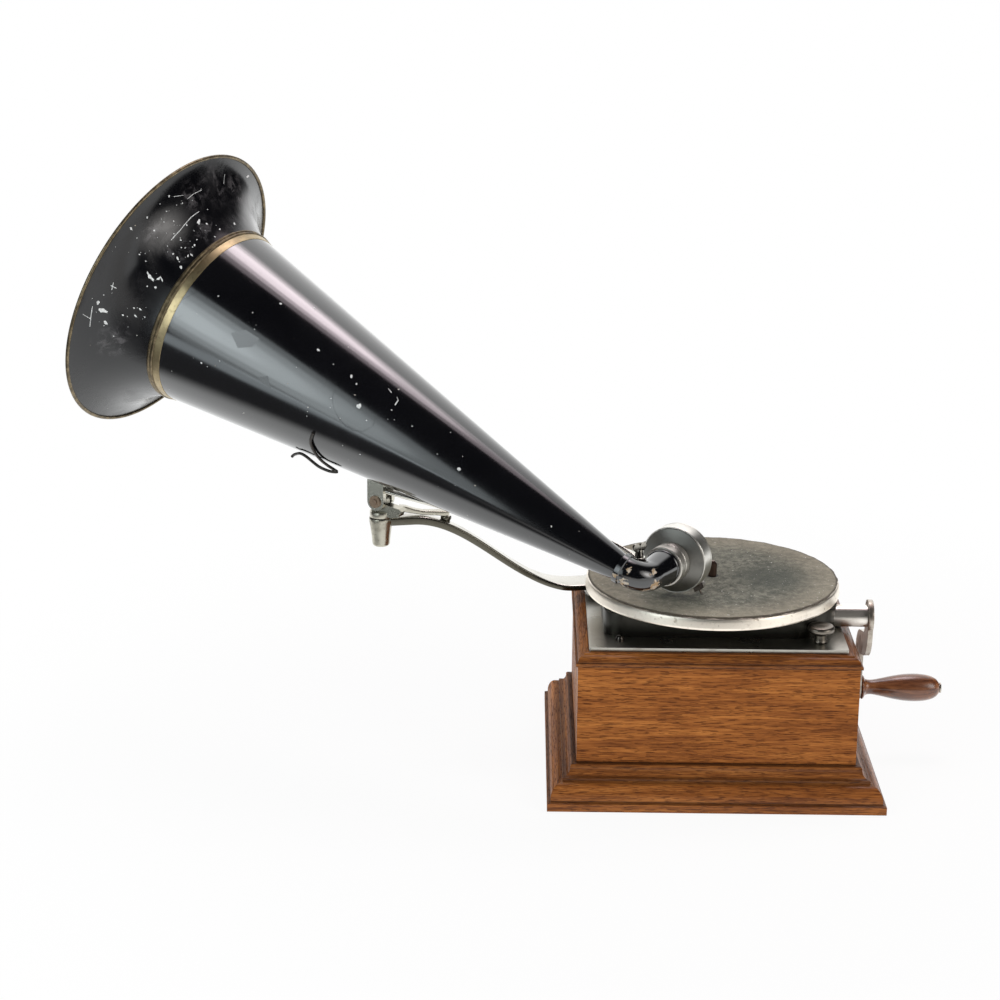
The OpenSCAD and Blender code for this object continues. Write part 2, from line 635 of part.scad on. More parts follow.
module governor_shaft() color(steel) translate(governor_pos) {
    translate([0, 0, motor_z]) cylinder(r = governor_shaft_r, h = plate_top - motor_z);
    translate([0, 0, spindle_wheel_z - 1]) rotate([0, 0, governor_az + 180 + 180 / governor_teeth])
        gear(governor_teeth, governor_module, thin_wheel_t + 2);
    translate([0, 0, low_collar_z]) cylinder(r = collar_r, h = collar_h);
}
module governor_disc() color(brass) translate(governor_pos) {
    translate([0, 0, disc_z]) tube(disc_r, governor_shaft_r, disc_t);
    translate([0, 0, disc_z - collar_h]) tube(collar_r, governor_shaft_r, collar_h);
}
leaf_w = 5;
leaf_t = 0.6;
module leaf_end(r, z) translate([r, -leaf_w / 2, z]) cube([leaf_t, leaf_w, 2]);
module governor_springs() color(steel) translate(governor_pos) for (a = [0, 120, 240]) rotate([0, 0, a]) {
    hull() {
        leaf_end(collar_r, low_collar_z + 1);
        leaf_end(weight_run - weight_r, weight_z - 1);
    }
    hull() {
        leaf_end(weight_run - weight_r, weight_z - 1);
        leaf_end(collar_r, disc_z - collar_h + 2);
    }
}
module governor_weights() color(brass) translate(governor_pos) for (a = [0, 120, 240]) rotate([0, 0, a])
    translate([weight_run - weight_r + leaf_t, 0, weight_z]) rotate([0, 90, 0]) {
        cylinder(r = 3.4, h = 3);
        translate([0, 0, weight_r + 1]) sphere(weight_r);
    }

// Speed screw, its lever and the lever's bracket
speed_stem_r = 3;
speed_neck_r = 4.7;
speed_neck_h = 8.5;
speed_head_h = 5.2;
pad_az = 230;
pad_run = 12;
pad_pos = governor_pos + pad_run * [cos(pad_az), sin(pad_az), 0];
speed_pos = [speed_x, speed_y, 0];
lever_az = heading(speed_pos, pad_pos);
lever_l = norm(pad_pos - speed_pos);
lever_pivot = 50;
lever_half = 4;
lever_pin_r = 1.6;
bracket_t = 3;
module speed_screw() color(nickel) translate(speed_pos) {
    translate([0, 0, lever_z + lever_t + free_gap])
        cylinder(r = speed_stem_r, h = plate_top - lever_z - lever_t);
    translate([0, 0, plate_top + free_gap]) rotate_extrude() polygon(concat(
        [[0, 0], [speed_neck_r + 0.6, 0], [speed_neck_r, 1.2], [speed_neck_r, speed_neck_h - 1.5]],
        [[speed_head_r - 1.5, speed_neck_h - 0.6]],
        arc(speed_head_r - 1, speed_neck_h + speed_head_h / 2, 1, speed_head_h / 2 - 0.4, -60, 60, 4),
        [[speed_head_r - 2, speed_neck_h + speed_head_h], [0, speed_neck_h + speed_head_h + 0.5]]));
}
module in_lever() translate([speed_x, speed_y, lever_z]) rotate([0, 0, lever_az]) children();
module speed_lever() color(steel) in_lever() {
    translate([-5, -lever_half, 0]) cube([lever_l + 9, 2 * lever_half, lever_t]);
    translate([lever_pivot, lever_half + bracket_t, lever_t / 2]) rotate([90, 0, 0])
        cylinder(r = lever_pin_r, h = 2 * (lever_half + bracket_t));
}
module lever_bracket() color(steel) in_lever() difference() {
    for (y = [lever_half + free_gap, -lever_half - free_gap - bracket_t]) translate([lever_pivot - 5, y, -1])
        cube([10, bracket_t, plate_z - lever_z + 1]);
    translate([lever_pivot, 20, lever_t / 2]) rotate([90, 0, 0]) cylinder(r = lever_pin_r + run_gap, h = 40);
}

// Turntable
hub_r = 14;
module turntable() color(nickel) difference() {
    union() {
        rotate_extrude() polygon(concat(
            [[shaft_r, rim_h + table_z - table_t], [table_r - 4, rim_h + table_z - table_t]],
            [[table_r - 2, table_z + 3], [table_r - 2, table_z]],
            arc(table_r - 1.4, table_z + 1.4, 1.4, 1.4, -90, 0, 4),
            arc(table_r - 2, table_z + rim_h - 2, 2, 2, 0, 90, 6),
            [[shaft_r, table_z + rim_h]]));
        translate([0, 0, housing_top + free_gap])
            cylinder(r = hub_r, h = felt_z - housing_top - free_gap - 1);
    }
    translate([0, 0, housing_top]) cylinder(r = shaft_r, h = felt_top);
}
washer_r = 5;
module turntable_felt() color(olive) translate([0, 0, felt_z]) tube(felt_r, washer_r, felt_t);
module centre_washer() color([0.2, 0.18, 0.15]) translate([0, 0, felt_z])
    tube(washer_r, spindle_r, felt_t * 0.6);

// Support arm: a bar in the upright plane from its root to the socket
root_pos = [root_x, root_y, 0];
arm_az = heading(root_pos, pivot_pos);
arm_l = norm([pivot_x - root_x, pivot_y - root_y]);
function arm_mid(s) =
    let (t = max(0, min(1, (s - rise_from) / (rise_to - rise_from))))
    arm_low + (arm_high - arm_low) * (1 - cos(180 * t)) / 2;
function arm_slope(s) = atan2(arm_mid(s + 0.5) - arm_mid(s - 0.5), 1);
arm_from = -14;
arm_depths = [[rise_from, arm_root_h], [rise_to, arm_end_h]];
arm_halves = [[rise_from + 10, arm_root_half], [rise_from + 34, arm_half + 1.4], [rise_from + 70, arm_half],
              [rise_to, arm_half]];
function arm_depth(s) = lookup(s, arm_depths);
function arm_edge(s, side) =
    let (a = arm_slope(s), h = side * arm_depth(s) / 2) [s - h * sin(a), arm_mid(s) + h * cos(a)];
arm_steps = 26;
arm_stations = [for (i = [0:arm_steps]) arm_from + (arm_l - arm_from) * i / arm_steps];
arm_screw_r = 2.2;
foot_from = -18;
foot_l = 34;
foot_w = 30;
foot_t = 3.4;
arm_l_low = 24;
peg_r = 4.4;
peg_rise = 5;
function on_arm(along, aside) =
    root_pos + along * [cos(arm_az), sin(arm_az), 0] + aside * [-sin(arm_az), cos(arm_az), 0];
arm_screw_spots = [for (s = [-12, 6], t = [-1, 1]) on_arm(s, t * 10.5)];
socket_top = pivot_z - 14.4;
peg_along = 132;
module in_arm() translate(root_pos) rotate([0, 0, arm_az]) children();
module support_arm() color(nickel) difference() {
    union() {
        in_arm() {
            intersection() {
                translate([0, foot_w / 2, 0]) rotate([90, 0, 0]) linear_extrude(foot_w) polygon(concat(
                    [for (s = arm_stations) arm_edge(s, 1)],
                    [for (i = [arm_steps:-1:0]) arm_edge(arm_stations[i], -1)]));
                linear_extrude(pivot_z) polygon(concat(
                    [[arm_from - 1, -arm_root_half]], [for (p = arm_halves) [p.x, -p.y]],
                    [[arm_l, -arm_half], [arm_l, arm_half]],
                    [for (i = [len(arm_halves) - 1:-1:0]) arm_halves[i]], [[arm_from - 1, arm_root_half]]));
            }
            translate([foot_from, -foot_w / 2, plate_top]) cube([foot_l, foot_w, foot_t]);
            translate([arm_from, -arm_half, plate_top]) cube([arm_l_low, 2 * arm_half, arm_low - plate_top]);
            translate([peg_along, 0, arm_mid(peg_along)])
                cylinder(r = peg_r, h = arm_depth(peg_along) / 2 + peg_rise);
        }
        translate([pivot_x, pivot_y, socket_z + 1])
            cylinder(r1 = socket_low_r, r2 = socket_r, h = socket_top - socket_z - 1);
        translate([pivot_x, pivot_y, socket_z]) cylinder(r1 = socket_low_r - 1, r2 = socket_low_r, h = 1);
    }
    translate([pivot_x, pivot_y, socket_z + 3]) cylinder(r = stem_r + run_gap, h = 60);
    for (p = arm_screw_spots) translate(p) translate([0, 0, plate_top - 1])
        cylinder(r = arm_screw_r + run_gap, h = 10);
}
module arm_screws() color(steel) for (p = arm_screw_spots) translate(p) translate([0, 0, plate_z]) {
    cylinder(r = arm_screw_r, h = plate_t + foot_t + weld);
    translate([0, 0, plate_t + foot_t]) cylinder(r1 = 3.8, r2 = 3, h = 2);
}

// Swivel head, carrier and tilt pin
tongue_half = 4;
tongue_r = 6.5;
cheek_t = 4;
cheek_half = 7.5;
cheek_in = tongue_half + free_gap;
cheek_out = cheek_in + cheek_t;
head_r = 9;
stem_l = socket_top - socket_z - 4;
module swivel_head() color(nickel) in_pivot() difference() {
    union() {
        rotate([90, 0, 0]) translate([0, 0, -tongue_half]) cylinder(r = tongue_r, h = 2 * tongue_half);
        translate([-tongue_r, -tongue_half, -10]) cube([2 * tongue_r, 2 * tongue_half, 10]);
        translate([0, 0, -14]) cylinder(r = head_r, h = 4.5);
        translate([0, 0, -14 - stem_l]) cylinder(r = stem_r, h = stem_l + 1);
        translate([0, tongue_half, 0]) rotate([90, 0, 0]) linear_extrude(2 * tongue_half) polygon(concat(
            [[0, -13], [0, -2], [-19, -4.5]], arc(-24, -11, 5, 5, 70, 0, 4), [[-13, -13]]));
    }
    rotate([90, 0, 0]) translate([0, 0, -20]) cylinder(r = tilt_pin_r + run_gap, h = 40);
}
saddle_h = 34;
module horn_carrier() color(nickel) difference() {
    in_pivot() difference() {
        union() {
            for (y = [-cheek_out, cheek_in]) translate([0, y, 0]) {
                translate([0, cheek_t, 0]) rotate([90, 0, 0]) cylinder(r = cheek_half, h = cheek_t);
                translate([-cheek_half, 0, 0]) cube([2 * cheek_half, cheek_t, saddle_h]);
            }
            translate([-cheek_half, -cheek_out, tongue_r + 1])
                cube([2 * cheek_half, 2 * cheek_out, saddle_h - tongue_r]);
        }
        rotate([90, 0, 0]) translate([0, 0, -20]) cylinder(r = tilt_pin_r, h = 40);
    }
    in_horn() horn_solid();
}
washer_t = 1.2;
module tilt_pin() color(steel) in_pivot() rotate([90, 0, 0]) {
    translate([0, 0, -cheek_out - 2]) cylinder(r = tilt_pin_r, h = 2 * cheek_out + 4);
    for (z = [cheek_out, -cheek_out - washer_t]) translate([0, 0, z]) cylinder(r = 5, h = washer_t);
}

// Travelling bar: a flat strip that twists from under the horn to the top of the elbow
boss_r = 5;
boss_sink = 4;
eye_t = 2.5;
eye_run = 8;
eye_rise = 8;
eye_spot = bend_centre + eye_run * box_dir;
eye_pos = [eye_spot.x, eye_spot.y, box_z + eye_rise];
bar_root = pivot_pos + [-5 * cos(horn_az), -5 * sin(horn_az), 8.6];
strip_steps = 12;
strip_guides = [to_horn(bar_root), [22, -34, 72], [-2, -32, 28], to_horn(eye_pos + [0, 0, eye_t / 2])];
function bezier(p, t) =
    pow(1 - t, 3) * p[0] + 3 * t * pow(1 - t, 2) * p[1] + 3 * t * t * (1 - t) * p[2] + pow(t, 3) * p[3];
function strip_ring(t) =
    let (c = bezier(strip_guides, t), a = -180 * t, half = 6 - 2 * t)
    let (n = [cos(a), sin(a), 0] * eye_t / 2, b = [-sin(a), cos(a), 0] * half)
    [c - n - b, c + n - b, c + n + b, c - n + b];
strip_points = [for (i = [0:strip_steps]) each strip_ring(i / strip_steps)];
strip_skin = [for (i = [0:strip_steps - 1], k = [0:3])
    let (n = (k + 1) % 4, a = 4 * i, b = a + 4)
    each [[a + k, a + n, b + n], [a + k, b + n, b + k]]];
strip_ends = [[3, 2, 1, 0], [for (k = [0:3]) 4 * strip_steps + k]];
module travelling_bar() color(nickel) difference() {
    union() {
        in_horn() polyhedron(strip_points, concat(strip_skin, strip_ends));
        translate(eye_pos) cylinder(r = boss_r, h = eye_t + 0.1);
    }
    translate(eye_pos - [0, 0, 1]) cylinder(r = wing_shaft_r + run_gap, h = eye_t + 2);
    translate(eye_pos + [0, 0, eye_t]) cylinder(r = flange_r + 2 * free_gap, h = 2 * screw_l);
}
flange_r = 3.6;
wing_shaft_r = 1.6;
wing_t = 1.8;
wing_run = 3.4;
wing_r = 3.2;
screw_l = 6;
module wing_screw() color(nickel) translate(eye_pos) {
    translate([0, 0, -screw_l]) cylinder(r = wing_shaft_r, h = screw_l + eye_t + 4);
    translate([0, 0, eye_t + free_gap]) cylinder(r1 = flange_r, r2 = flange_r - 1, h = 5);
    for (a = [40, 220]) rotate([0, 0, a]) translate([wing_run, wing_t / 2, eye_t + 7.6]) rotate([90, 0, 0])
        cylinder(r = wing_r, h = wing_t);
}
collar_back = 19;
spigot_end = 6;
spigot_r = elbow_r + 0.2;
spigot_bore = elbow_bore + 0.2;
bead_l = 2.4;
module elbow() color(black) difference() {
    union() {
        place(bend_start - horn_dir * weld, horn_down, horn_near, horn_dir)
            cylinder(r = elbow_r + 1, h = neck_l + weld);
        place(bend_centre, -bend_in, -horn_dir, cross(-bend_in, -horn_dir))
            rotate_extrude(angle = bend_angle) translate([bend_r, 0]) circle(elbow_r);
        in_box() {
            translate([0, 0, bend_tangent - elbow_run - weld])
                cylinder(r = spigot_r, h = elbow_run - bend_tangent - spigot_end + weld);
            translate([0, 0, -collar_back - free_gap - bead_l]) cylinder(r = elbow_r + 1.2, h = bead_l);
        }
        translate(eye_pos - [0, 0, eye_rise + boss_sink]) cylinder(r = boss_r, h = eye_rise + boss_sink);
    }
    place(bend_start - horn_dir * weld, horn_down, horn_near, horn_dir)
        cylinder(r = spigot_bore, h = neck_l);
    place(bend_start + horn_dir * weld, horn_down, horn_near, horn_dir)
        cylinder(r = elbow_bore + sheet_t, h = neck_l);
    place(bend_centre, -bend_in, -horn_dir, cross(-bend_in, -horn_dir))
        rotate_extrude(angle = bend_angle) translate([bend_r, 0]) circle(elbow_bore);
    in_box() translate([0, 0, bend_tangent - elbow_run - weld]) cylinder(r = spigot_bore, h = elbow_run);
    translate(eye_pos - [0, 0, screw_l + free_gap]) cylinder(r = wing_shaft_r + run_gap, h = 2 * screw_l);
}

// Sound box, from the back to the front
back_rise = 3.5;
shell_wall = 1.6;
seat = 6;
gasket_t = 1.2;
mica_t = 0.3;
gasket_in = 20.5;
bar_z = box_depth + 5;
module sound_box_shell() color(nickel) in_box() rotate_extrude() polygon([
    [elbow_r + 1.2, -back_rise], [box_r - 0.8, 0], [box_r, 0.8], [box_r, box_depth],
    [box_r - shell_wall, box_depth], [box_r - shell_wall, seat], [gasket_in, seat],
    [gasket_in, shell_wall + 1], [elbow_r + 1.2, shell_wall - back_rise + 1]]);
sleeve_out = 15.8;
module sound_box_collar() color(nickel) in_box() rotate_extrude() polygon([
    [spigot_r + run_gap, -collar_back], [sleeve_out - 0.6, -collar_back],
    [sleeve_out, -collar_back + 0.6], [sleeve_out, -back_rise], [elbow_r + 1.2, -back_rise],
    [elbow_r + 1.2, 0], [spigot_r + run_gap, 0]]);
module gaskets() color([0.7, 0.6, 0.5]) in_box() for (z = [seat, seat + gasket_t + mica_t])
    translate([0, 0, z]) tube(box_r - shell_wall, gasket_in, gasket_t);
module diaphragm() color([0.85, 0.8, 0.7, 0.6]) in_box()
    translate([0, 0, seat + gasket_t]) cylinder(r = box_r - shell_wall - 0.5, h = mica_t);
module front_ring() color(nickel) in_box() translate([0, 0, seat + 2 * gasket_t + mica_t])
    rotate_extrude() polygon([[gasket_in, 0], [box_r - shell_wall, 0],
        [box_r - shell_wall, box_depth - seat - 2 * gasket_t - mica_t],
        [box_r, box_depth - seat - 2 * gasket_t - mica_t], [box_r, box_depth - seat - gasket_t],
        [box_r - 1, box_depth - seat - gasket_t + 0.8], [gasket_in + 1, box_depth - seat - gasket_t + 0.8],
        [gasket_in, box_depth - seat - gasket_t]]);
// The stylus bar runs from the diaphragm's middle to the chuck, along +X of this frame
module in_stylus() in_box() rotate([0, 0, 90 - needle_lean]) children();
ring_top = box_depth + gasket_t + 1.1;
chuck_from = 22.5;
chuck_to = 31;
module stylus_bar() color(steel) in_stylus() difference() {
    union() {
        translate([0, 0, seat + gasket_t + mica_t]) cylinder(r = 1.4, h = bar_z - seat - gasket_t);
        translate([-1.6, -1.6, bar_z - 1]) cube([chuck_from + 2, 3.2, 2.6]);
        translate([chuck_from, -3, ring_top + 0.1]) cube([chuck_to - chuck_from, 6, bar_z + 3 - ring_top]);
        translate([chuck_from - 1, -4.5, ring_top]) cube([3, 9, 3]);
    }
    translate([chuck_to - 5, 0, bar_z + 0.5]) rotate([0, 90, 0]) cylinder(r = needle_r + run_gap, h = 10);
    translate([chuck_to - 2.6, 0, bar_z + 0.5]) cylinder(r = 1.2 + run_gap, h = 10);
}
needle_r = 0.8;
needle_gap = 0.3;
needle_end = (box_z - felt_top - needle_gap) / cos(needle_lean);
module needle() color(steel) in_stylus() translate([0, 0, bar_z + 0.5]) rotate([0, 90, 0]) {
    rotate_extrude() polygon([[0, chuck_to - 5], [needle_r, chuck_to - 5], [needle_r, needle_end - 3],
                              [0.12, needle_end], [0, needle_end]]);
}
module needle_screw() color(nickel) in_stylus()
    translate([chuck_to - 2.6, 0, bar_z + 0.5 + needle_r + run_gap]) {
    cylinder(r = 1.2, h = 5);
    translate([0, 0, 2.5 - needle_r + free_gap]) cylinder(r = 3.2, h = 4.2);
}

// Horn: cone, brass joint band, bell and rolled rim
bell_chord = atan2(bell_r - cone_r, bell_l);
bell_turn = 2 * (bell_chord - bell_slope);
bell_arc = norm([bell_l, bell_r - cone_r]) / 2 / sin(bell_turn / 2);
bell_steps = 12;
function bell_point(i, out) =
    let (a = bell_slope + bell_turn * i / bell_steps)
    [cone_r + bell_arc * (cos(bell_slope) - cos(a)) + out * cos(a),
     cone_l + bell_arc * (sin(a) - sin(bell_slope)) - out * sin(a)];
band_h = 2.6;
band_t = 1.4;
module horn_solid() cylinder(r1 = throat_r, r2 = cone_r, h = cone_l - band_h);
module horn_cone() color(black) in_horn() rotate_extrude() polygon([
    [elbow_bore, -neck_l + 0.7], [elbow_bore + sheet_t - run_gap, -neck_l + 0.7],
    [elbow_bore + sheet_t - run_gap, 0], [throat_r, 0], [cone_r, cone_l - band_h],
    [cone_r + band_t, cone_l - band_h], [cone_r + band_t, cone_l], [cone_r - sheet_t, cone_l]]);
rim_bead_r = 2.4;
module horn_bell() color(black) in_horn() rotate_extrude() {
    polygon(concat(
        [[cone_r - sheet_t, cone_l], [cone_r + band_t, cone_l], [cone_r + band_t, cone_l + band_h / 2]],
        [for (i = [1:bell_steps]) bell_point(i, 0)],
        [for (i = [bell_steps:-1:1]) bell_point(i, -sheet_t)]));
    translate(bell_point(bell_steps, 0)) circle(rim_bead_r);
}
// Wire hook on the horn's near side: one wire swept along its route in the horn's frame
hook_r = 1.3;
hook_sides = 8;
// Each point of the hook: angle from the horn's underside, lift off the cone, share of the cone's length
hook_plan = [[75.2, hook_r + 0.1, 0.6364], [56.9, 4.2, 0.6118], [42, 4.5, 0.5909], [37.9, 5.3, 0.5885],
             [35.1, 5.9, 0.5971], [27.4, 5, 0.6904]];
function hook_point(p) =
    let (s = p.z * cone_l, r = throat_r + (cone_r - throat_r) * s / (cone_l - band_h) + p.y)
    [r * cos(p.x), r * sin(p.x), s];
hook_route = [for (p = hook_plan) hook_point(p)];
hook_plane = unit(cross(hook_route[5] - hook_route[3], hook_route[0] - hook_route[3]));
function along_hook(i) = unit(hook_route[min(i + 1, 5)] - hook_route[max(i - 1, 0)]);
function hook_ring(i) =
    let (t = along_hook(i), u = unit(cross(hook_plane, t)), v = cross(t, u))
    [for (k = [0:hook_sides - 1])
        hook_route[i] + hook_r * (cos(k * 360 / hook_sides) * u + sin(k * 360 / hook_sides) * v)];
hook_skin = [for (i = [0:4], k = [0:hook_sides - 1])
    let (n = (k + 1) % hook_sides, a = i * hook_sides, b = a + hook_sides)
    [a + k, b + k, b + n, a + n]];
hook_ends = [[for (k = [0:hook_sides - 1]) k], [for (k = [hook_sides - 1:-1:0]) 5 * hook_sides + k]];
module horn_hook() color(black) in_horn()
    polyhedron([for (i = [0:5]) each hook_ring(i)], concat(hook_skin, hook_ends));

base_strip_front();
base_strip_back();
base_strip_left();
base_strip_right();
case_front();
case_back();
case_left();
case_right();
top_strip_front();
top_strip_back();
top_strip_left();
top_strip_right();
bottom_board();
bed_plate();
motor_housing();
plate_bolts();
motor_base();
motor_pillars();
spring_barrel();
barrel_lid();
mainspring();
winding_arbor();
crown_gear();
crank_shaft();
crank_sleeve();
crank_arm();
crank_handle();
second_arbor();
second_wheel();
spindle();
spindle_wheel();
governor_shaft();
governor_springs();
governor_weights();
governor_disc();
speed_screw();
speed_lever();
lever_bracket();
turntable();
turntable_felt();
centre_washer();
support_arm();
arm_screws();
swivel_head();
horn_carrier();
tilt_pin();
travelling_bar();
wing_screw();
elbow();
sound_box_shell();
sound_box_collar();
gaskets();
diaphragm();
front_ring();
stylus_bar();
needle();
needle_screw();
horn_cone();
horn_bell();
horn_hook();
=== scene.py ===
"""Travelling-horn disc gramophone: the finishes and fine forms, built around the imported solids."""
import math
import random

import bpy
from mathutils import Matrix, Vector, noise


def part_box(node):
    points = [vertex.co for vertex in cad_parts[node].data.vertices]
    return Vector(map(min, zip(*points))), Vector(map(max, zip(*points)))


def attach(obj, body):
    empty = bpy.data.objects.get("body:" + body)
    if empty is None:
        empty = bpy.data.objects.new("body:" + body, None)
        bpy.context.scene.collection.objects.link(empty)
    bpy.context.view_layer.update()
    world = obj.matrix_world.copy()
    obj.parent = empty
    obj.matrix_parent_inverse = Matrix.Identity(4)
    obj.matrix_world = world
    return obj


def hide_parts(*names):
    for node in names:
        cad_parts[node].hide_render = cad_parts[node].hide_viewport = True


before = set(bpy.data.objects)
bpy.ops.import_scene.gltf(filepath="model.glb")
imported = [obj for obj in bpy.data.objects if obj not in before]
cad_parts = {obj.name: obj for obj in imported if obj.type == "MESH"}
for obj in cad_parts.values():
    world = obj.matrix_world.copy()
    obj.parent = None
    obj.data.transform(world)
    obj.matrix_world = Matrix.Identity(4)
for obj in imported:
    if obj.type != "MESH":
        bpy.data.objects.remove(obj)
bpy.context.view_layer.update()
scene = bpy.context.scene
scene.view_settings.view_transform = "Standard"


# Studio: the machine stands on a white paper sweep that runs up behind it.
# A softbox stands on each side in front, and a lamp hangs overhead. The lens looks down a little.
class Tap:
    """One socket of a node tree. Sums and products of taps and numbers add Math nodes."""

    def __init__(self, tree, socket=None):
        self.tree = tree
        self.socket = socket

    def node(self, kind, settings=None, inputs=None, out=0):
        """A tap on a new node: its settings are set first, then a value or a link for each of its inputs."""
        made = self.tree.nodes.new(kind)
        for key, value in (settings or {}).items():
            if key == "stops":
                ramp = made.color_ramp
                while len(ramp.elements) < len(value):
                    ramp.elements.new(1.0)
                for element, (place, colour) in zip(ramp.elements, value):
                    element.position = place
                    element.color = (*colour, 1.0)
            else:
                setattr(made, key, value)
        for key, value in (inputs or {}).items():
            if isinstance(value, Tap):
                self.tree.links.new(value.socket, made.inputs[key])
            else:
                made.inputs[key].default_value = value
        return Tap(self.tree, made.outputs[out])

    def also(self, out):
        """A tap on another output of the same node."""
        return Tap(self.tree, self.socket.node.outputs[out])

    def maths(self, operation, *values):
        return self.node("ShaderNodeMath", {"operation": operation}, dict(enumerate(values)))

    def __add__(self, other):
        return self.maths("ADD", self, other)

    def __sub__(self, other):
        return self.maths("SUBTRACT", self, other)

    def __rsub__(self, other):
        return self.maths("SUBTRACT", other, self)

    def __mul__(self, other):
        return self.maths("MULTIPLY", self, other)

    __radd__ = __add__
    __rmul__ = __mul__

    def between(self, low, high):
        """A soft step, from 0 at low to 1 at high."""
        step = {0: self, 1: low, 2: high}
        return self.node("ShaderNodeMapRange", {"interpolation_type": "SMOOTHSTEP"}, step)

    def blend(self, first, second):
        """A colour that goes from the first to the second as this tap goes from 0 to 1."""
        first, second = [colour if isinstance(colour, Tap) else (*colour, 1.0) for colour in (first, second)]
        return self.node("ShaderNodeMix", {"data_type": "RGBA"}, {0: self, 6: first, 7: second}, out=2)

    def ramp(self, *stops):
        """A colour read off a ramp of (value, colour) stops."""
        return self.node("ShaderNodeValToRGB", {"stops": stops}, {0: self})

    def axis(self, letter):
        return self.node("ShaderNodeSeparateXYZ", None, {0: self}, out=letter)

    def away_from(self, point):
        """The distance of each place from a point."""
        return self.node("ShaderNodeVectorMath", {"operation": "DISTANCE"}, {0: self, 1: point}, out="Value")

    def stretch(self, scale):
        return self.node("ShaderNodeVectorMath", {"operation": "MULTIPLY"}, {0: self, 1: scale})

    def noise(self, scale, detail=3.0, roughness=0.5, distortion=0.0):
        return self.node("ShaderNodeTexNoise", None, {
            "Vector": self, "Scale": scale, "Detail": detail, "Roughness": roughness,
            "Distortion": distortion})


def feed(shader, socket, tap):
    tap.tree.links.new(tap.socket, shader.inputs[socket])


def soft_lamp(name, place, aim, tint, *layers):
    """A soft lamp with a hot middle: one oval of (width, height, brightness) laid over another."""
    layer_gap = 0.002
    turn = (Vector(aim) - Vector(place)).to_track_quat("-Z", "Y")
    for number, (width, height, bright) in enumerate(layers):
        data = bpy.data.lights.new("%s_%d" % (name, number), "AREA")
        data.shape = "ELLIPSE"
        data.size = width
        data.size_y = height
        oval_area = math.pi / 4.0 * width * height
        data.energy = bright * math.pi * oval_area
        data.color = tint
        made = bpy.data.objects.new(data.name, data)
        made.location = Vector(place) + turn @ Vector((0.0, 0.0, -layer_gap * number))
        made.rotation_euler = turn.to_euler()
        made.visible_camera = False
        scene.collection.objects.link(made)


lens = bpy.data.cameras.new("lens")
lens.lens = 86.4
lens.sensor_width = 36.0
lens_angles = (72.8674, -0.4835, 0.5631)
camera = bpy.data.objects.new("camera", lens)
camera.location = (-0.1575, -1.8228, 0.7776)
camera.rotation_euler = [math.radians(angle) for angle in lens_angles]
scene.collection.objects.link(camera)
scene.camera = camera

soft_lamp("left_softbox", (-1.08, -0.93, 0.70), (-1.08, 0.0, 0.70), (0.88, 0.97, 1.0),
          (0.92, 1.7, 1.3), (0.70, 1.2, 1.4), (0.48, 0.8, 1.4), (0.26, 0.45, 1.2))
soft_lamp("overhead_lamp", (0.12, 0.58, 1.75), (0.12, 0.58, 0.0), (1.0, 0.87, 0.92),
          (1.15, 1.05, 1.4), (0.74, 0.72, 2.8), (0.44, 0.42, 4.0))
soft_lamp("right_softbox", (1.9, -1.3, 1.1), (0.05, 0.0, 0.1), (1.0, 0.97, 0.94),
          (2.0, 2.2, 1.2), (1.3, 1.5, 1.4), (0.8, 0.9, 2.6))

# In reflections the paper behind is brighter than white, and the room on the camera's side is dark.
ambient = 0.54
room_dark = 0.012
paper_bright = 1.5
studio = bpy.data.worlds.new("studio")
scene.world = studio
studio.use_nodes = True
backdrop = studio.node_tree.nodes["Background"]
sky = Tap(studio.node_tree)
rays = sky.node("ShaderNodeLightPath", out="Is Camera Ray")
shown = rays.maths("MAXIMUM", rays, rays.also("Is Transmission Ray"))
glossy = rays.also("Is Glossy Ray")
behind = sky.node("ShaderNodeTexCoord", out="Generated").axis("Y")
aside = behind.maths("ABSOLUTE", behind.also("X")).between(0.40, 0.62)
paper_behind = room_dark + paper_bright * behind.between(0.25, 0.5) * (1.0 - aside)
level = shown + (1.0 - shown) * (glossy * paper_behind + (1.0 - glossy) * ambient)
feed(backdrop, "Strength", level)
backdrop.inputs["Color"].default_value = (1.0, 1.0, 1.0, 1.0)

# The paper is lit from below as well, so that only the machine's own faint shadow shows on it.
floor_half = 4.0
floor_drop = 0.0004
floor_signs = ((-1, -1), (1, -1), (1, 1), (-1, 1))
floor_corners = [(floor_half * x, floor_half * y, -floor_drop) for x, y in floor_signs]
floor_mesh = bpy.data.meshes.new("paper_floor")
floor_mesh.from_pydata(floor_corners, [], [(0, 1, 2, 3)])
floor = bpy.data.objects.new("paper_floor", floor_mesh)
scene.collection.objects.link(floor)
paper = bpy.data.materials.new("white_paper")
paper.use_nodes = True
spot = Tap(paper.node_tree).node("ShaderNodeTexCoord", out="Object")
floor_y = spot.axis("Y")
floor_x = floor_y.also("X")
# Mirrored in the machine, the paper is bright behind it, in front of the plinth and under the left softbox.
# It is dark in the horn's own shadow, which runs slantwise from the plinth to the left.
shadow_slant = 1.2
shadow_edge = 0.81
lit_behind = (floor_y + shadow_slant * floor_x + shadow_edge).between(-0.12, 0.14)
lit_front = (floor_y.between(-1.3, -0.9) * (1.0 - floor_y.between(-0.62, -0.42))
             * floor_x.between(-0.70, -0.40))
lit_left = (floor_y.between(-1.25, -0.95) * (1.0 - floor_y.between(-0.55, -0.42))
            * (1.0 - floor_x.between(-1.05, -0.86)))
mirrored = lit_behind.blend((room_dark, room_dark, room_dark), (1.50, 1.52, 1.52))
mirrored = lit_front.blend(mirrored, (1.20, 1.18, 1.14))
mirrored = lit_left.blend(mirrored, (1.75, 1.95, 2.05))
paper_rays = spot.node("ShaderNodeLightPath", out="Is Camera Ray")
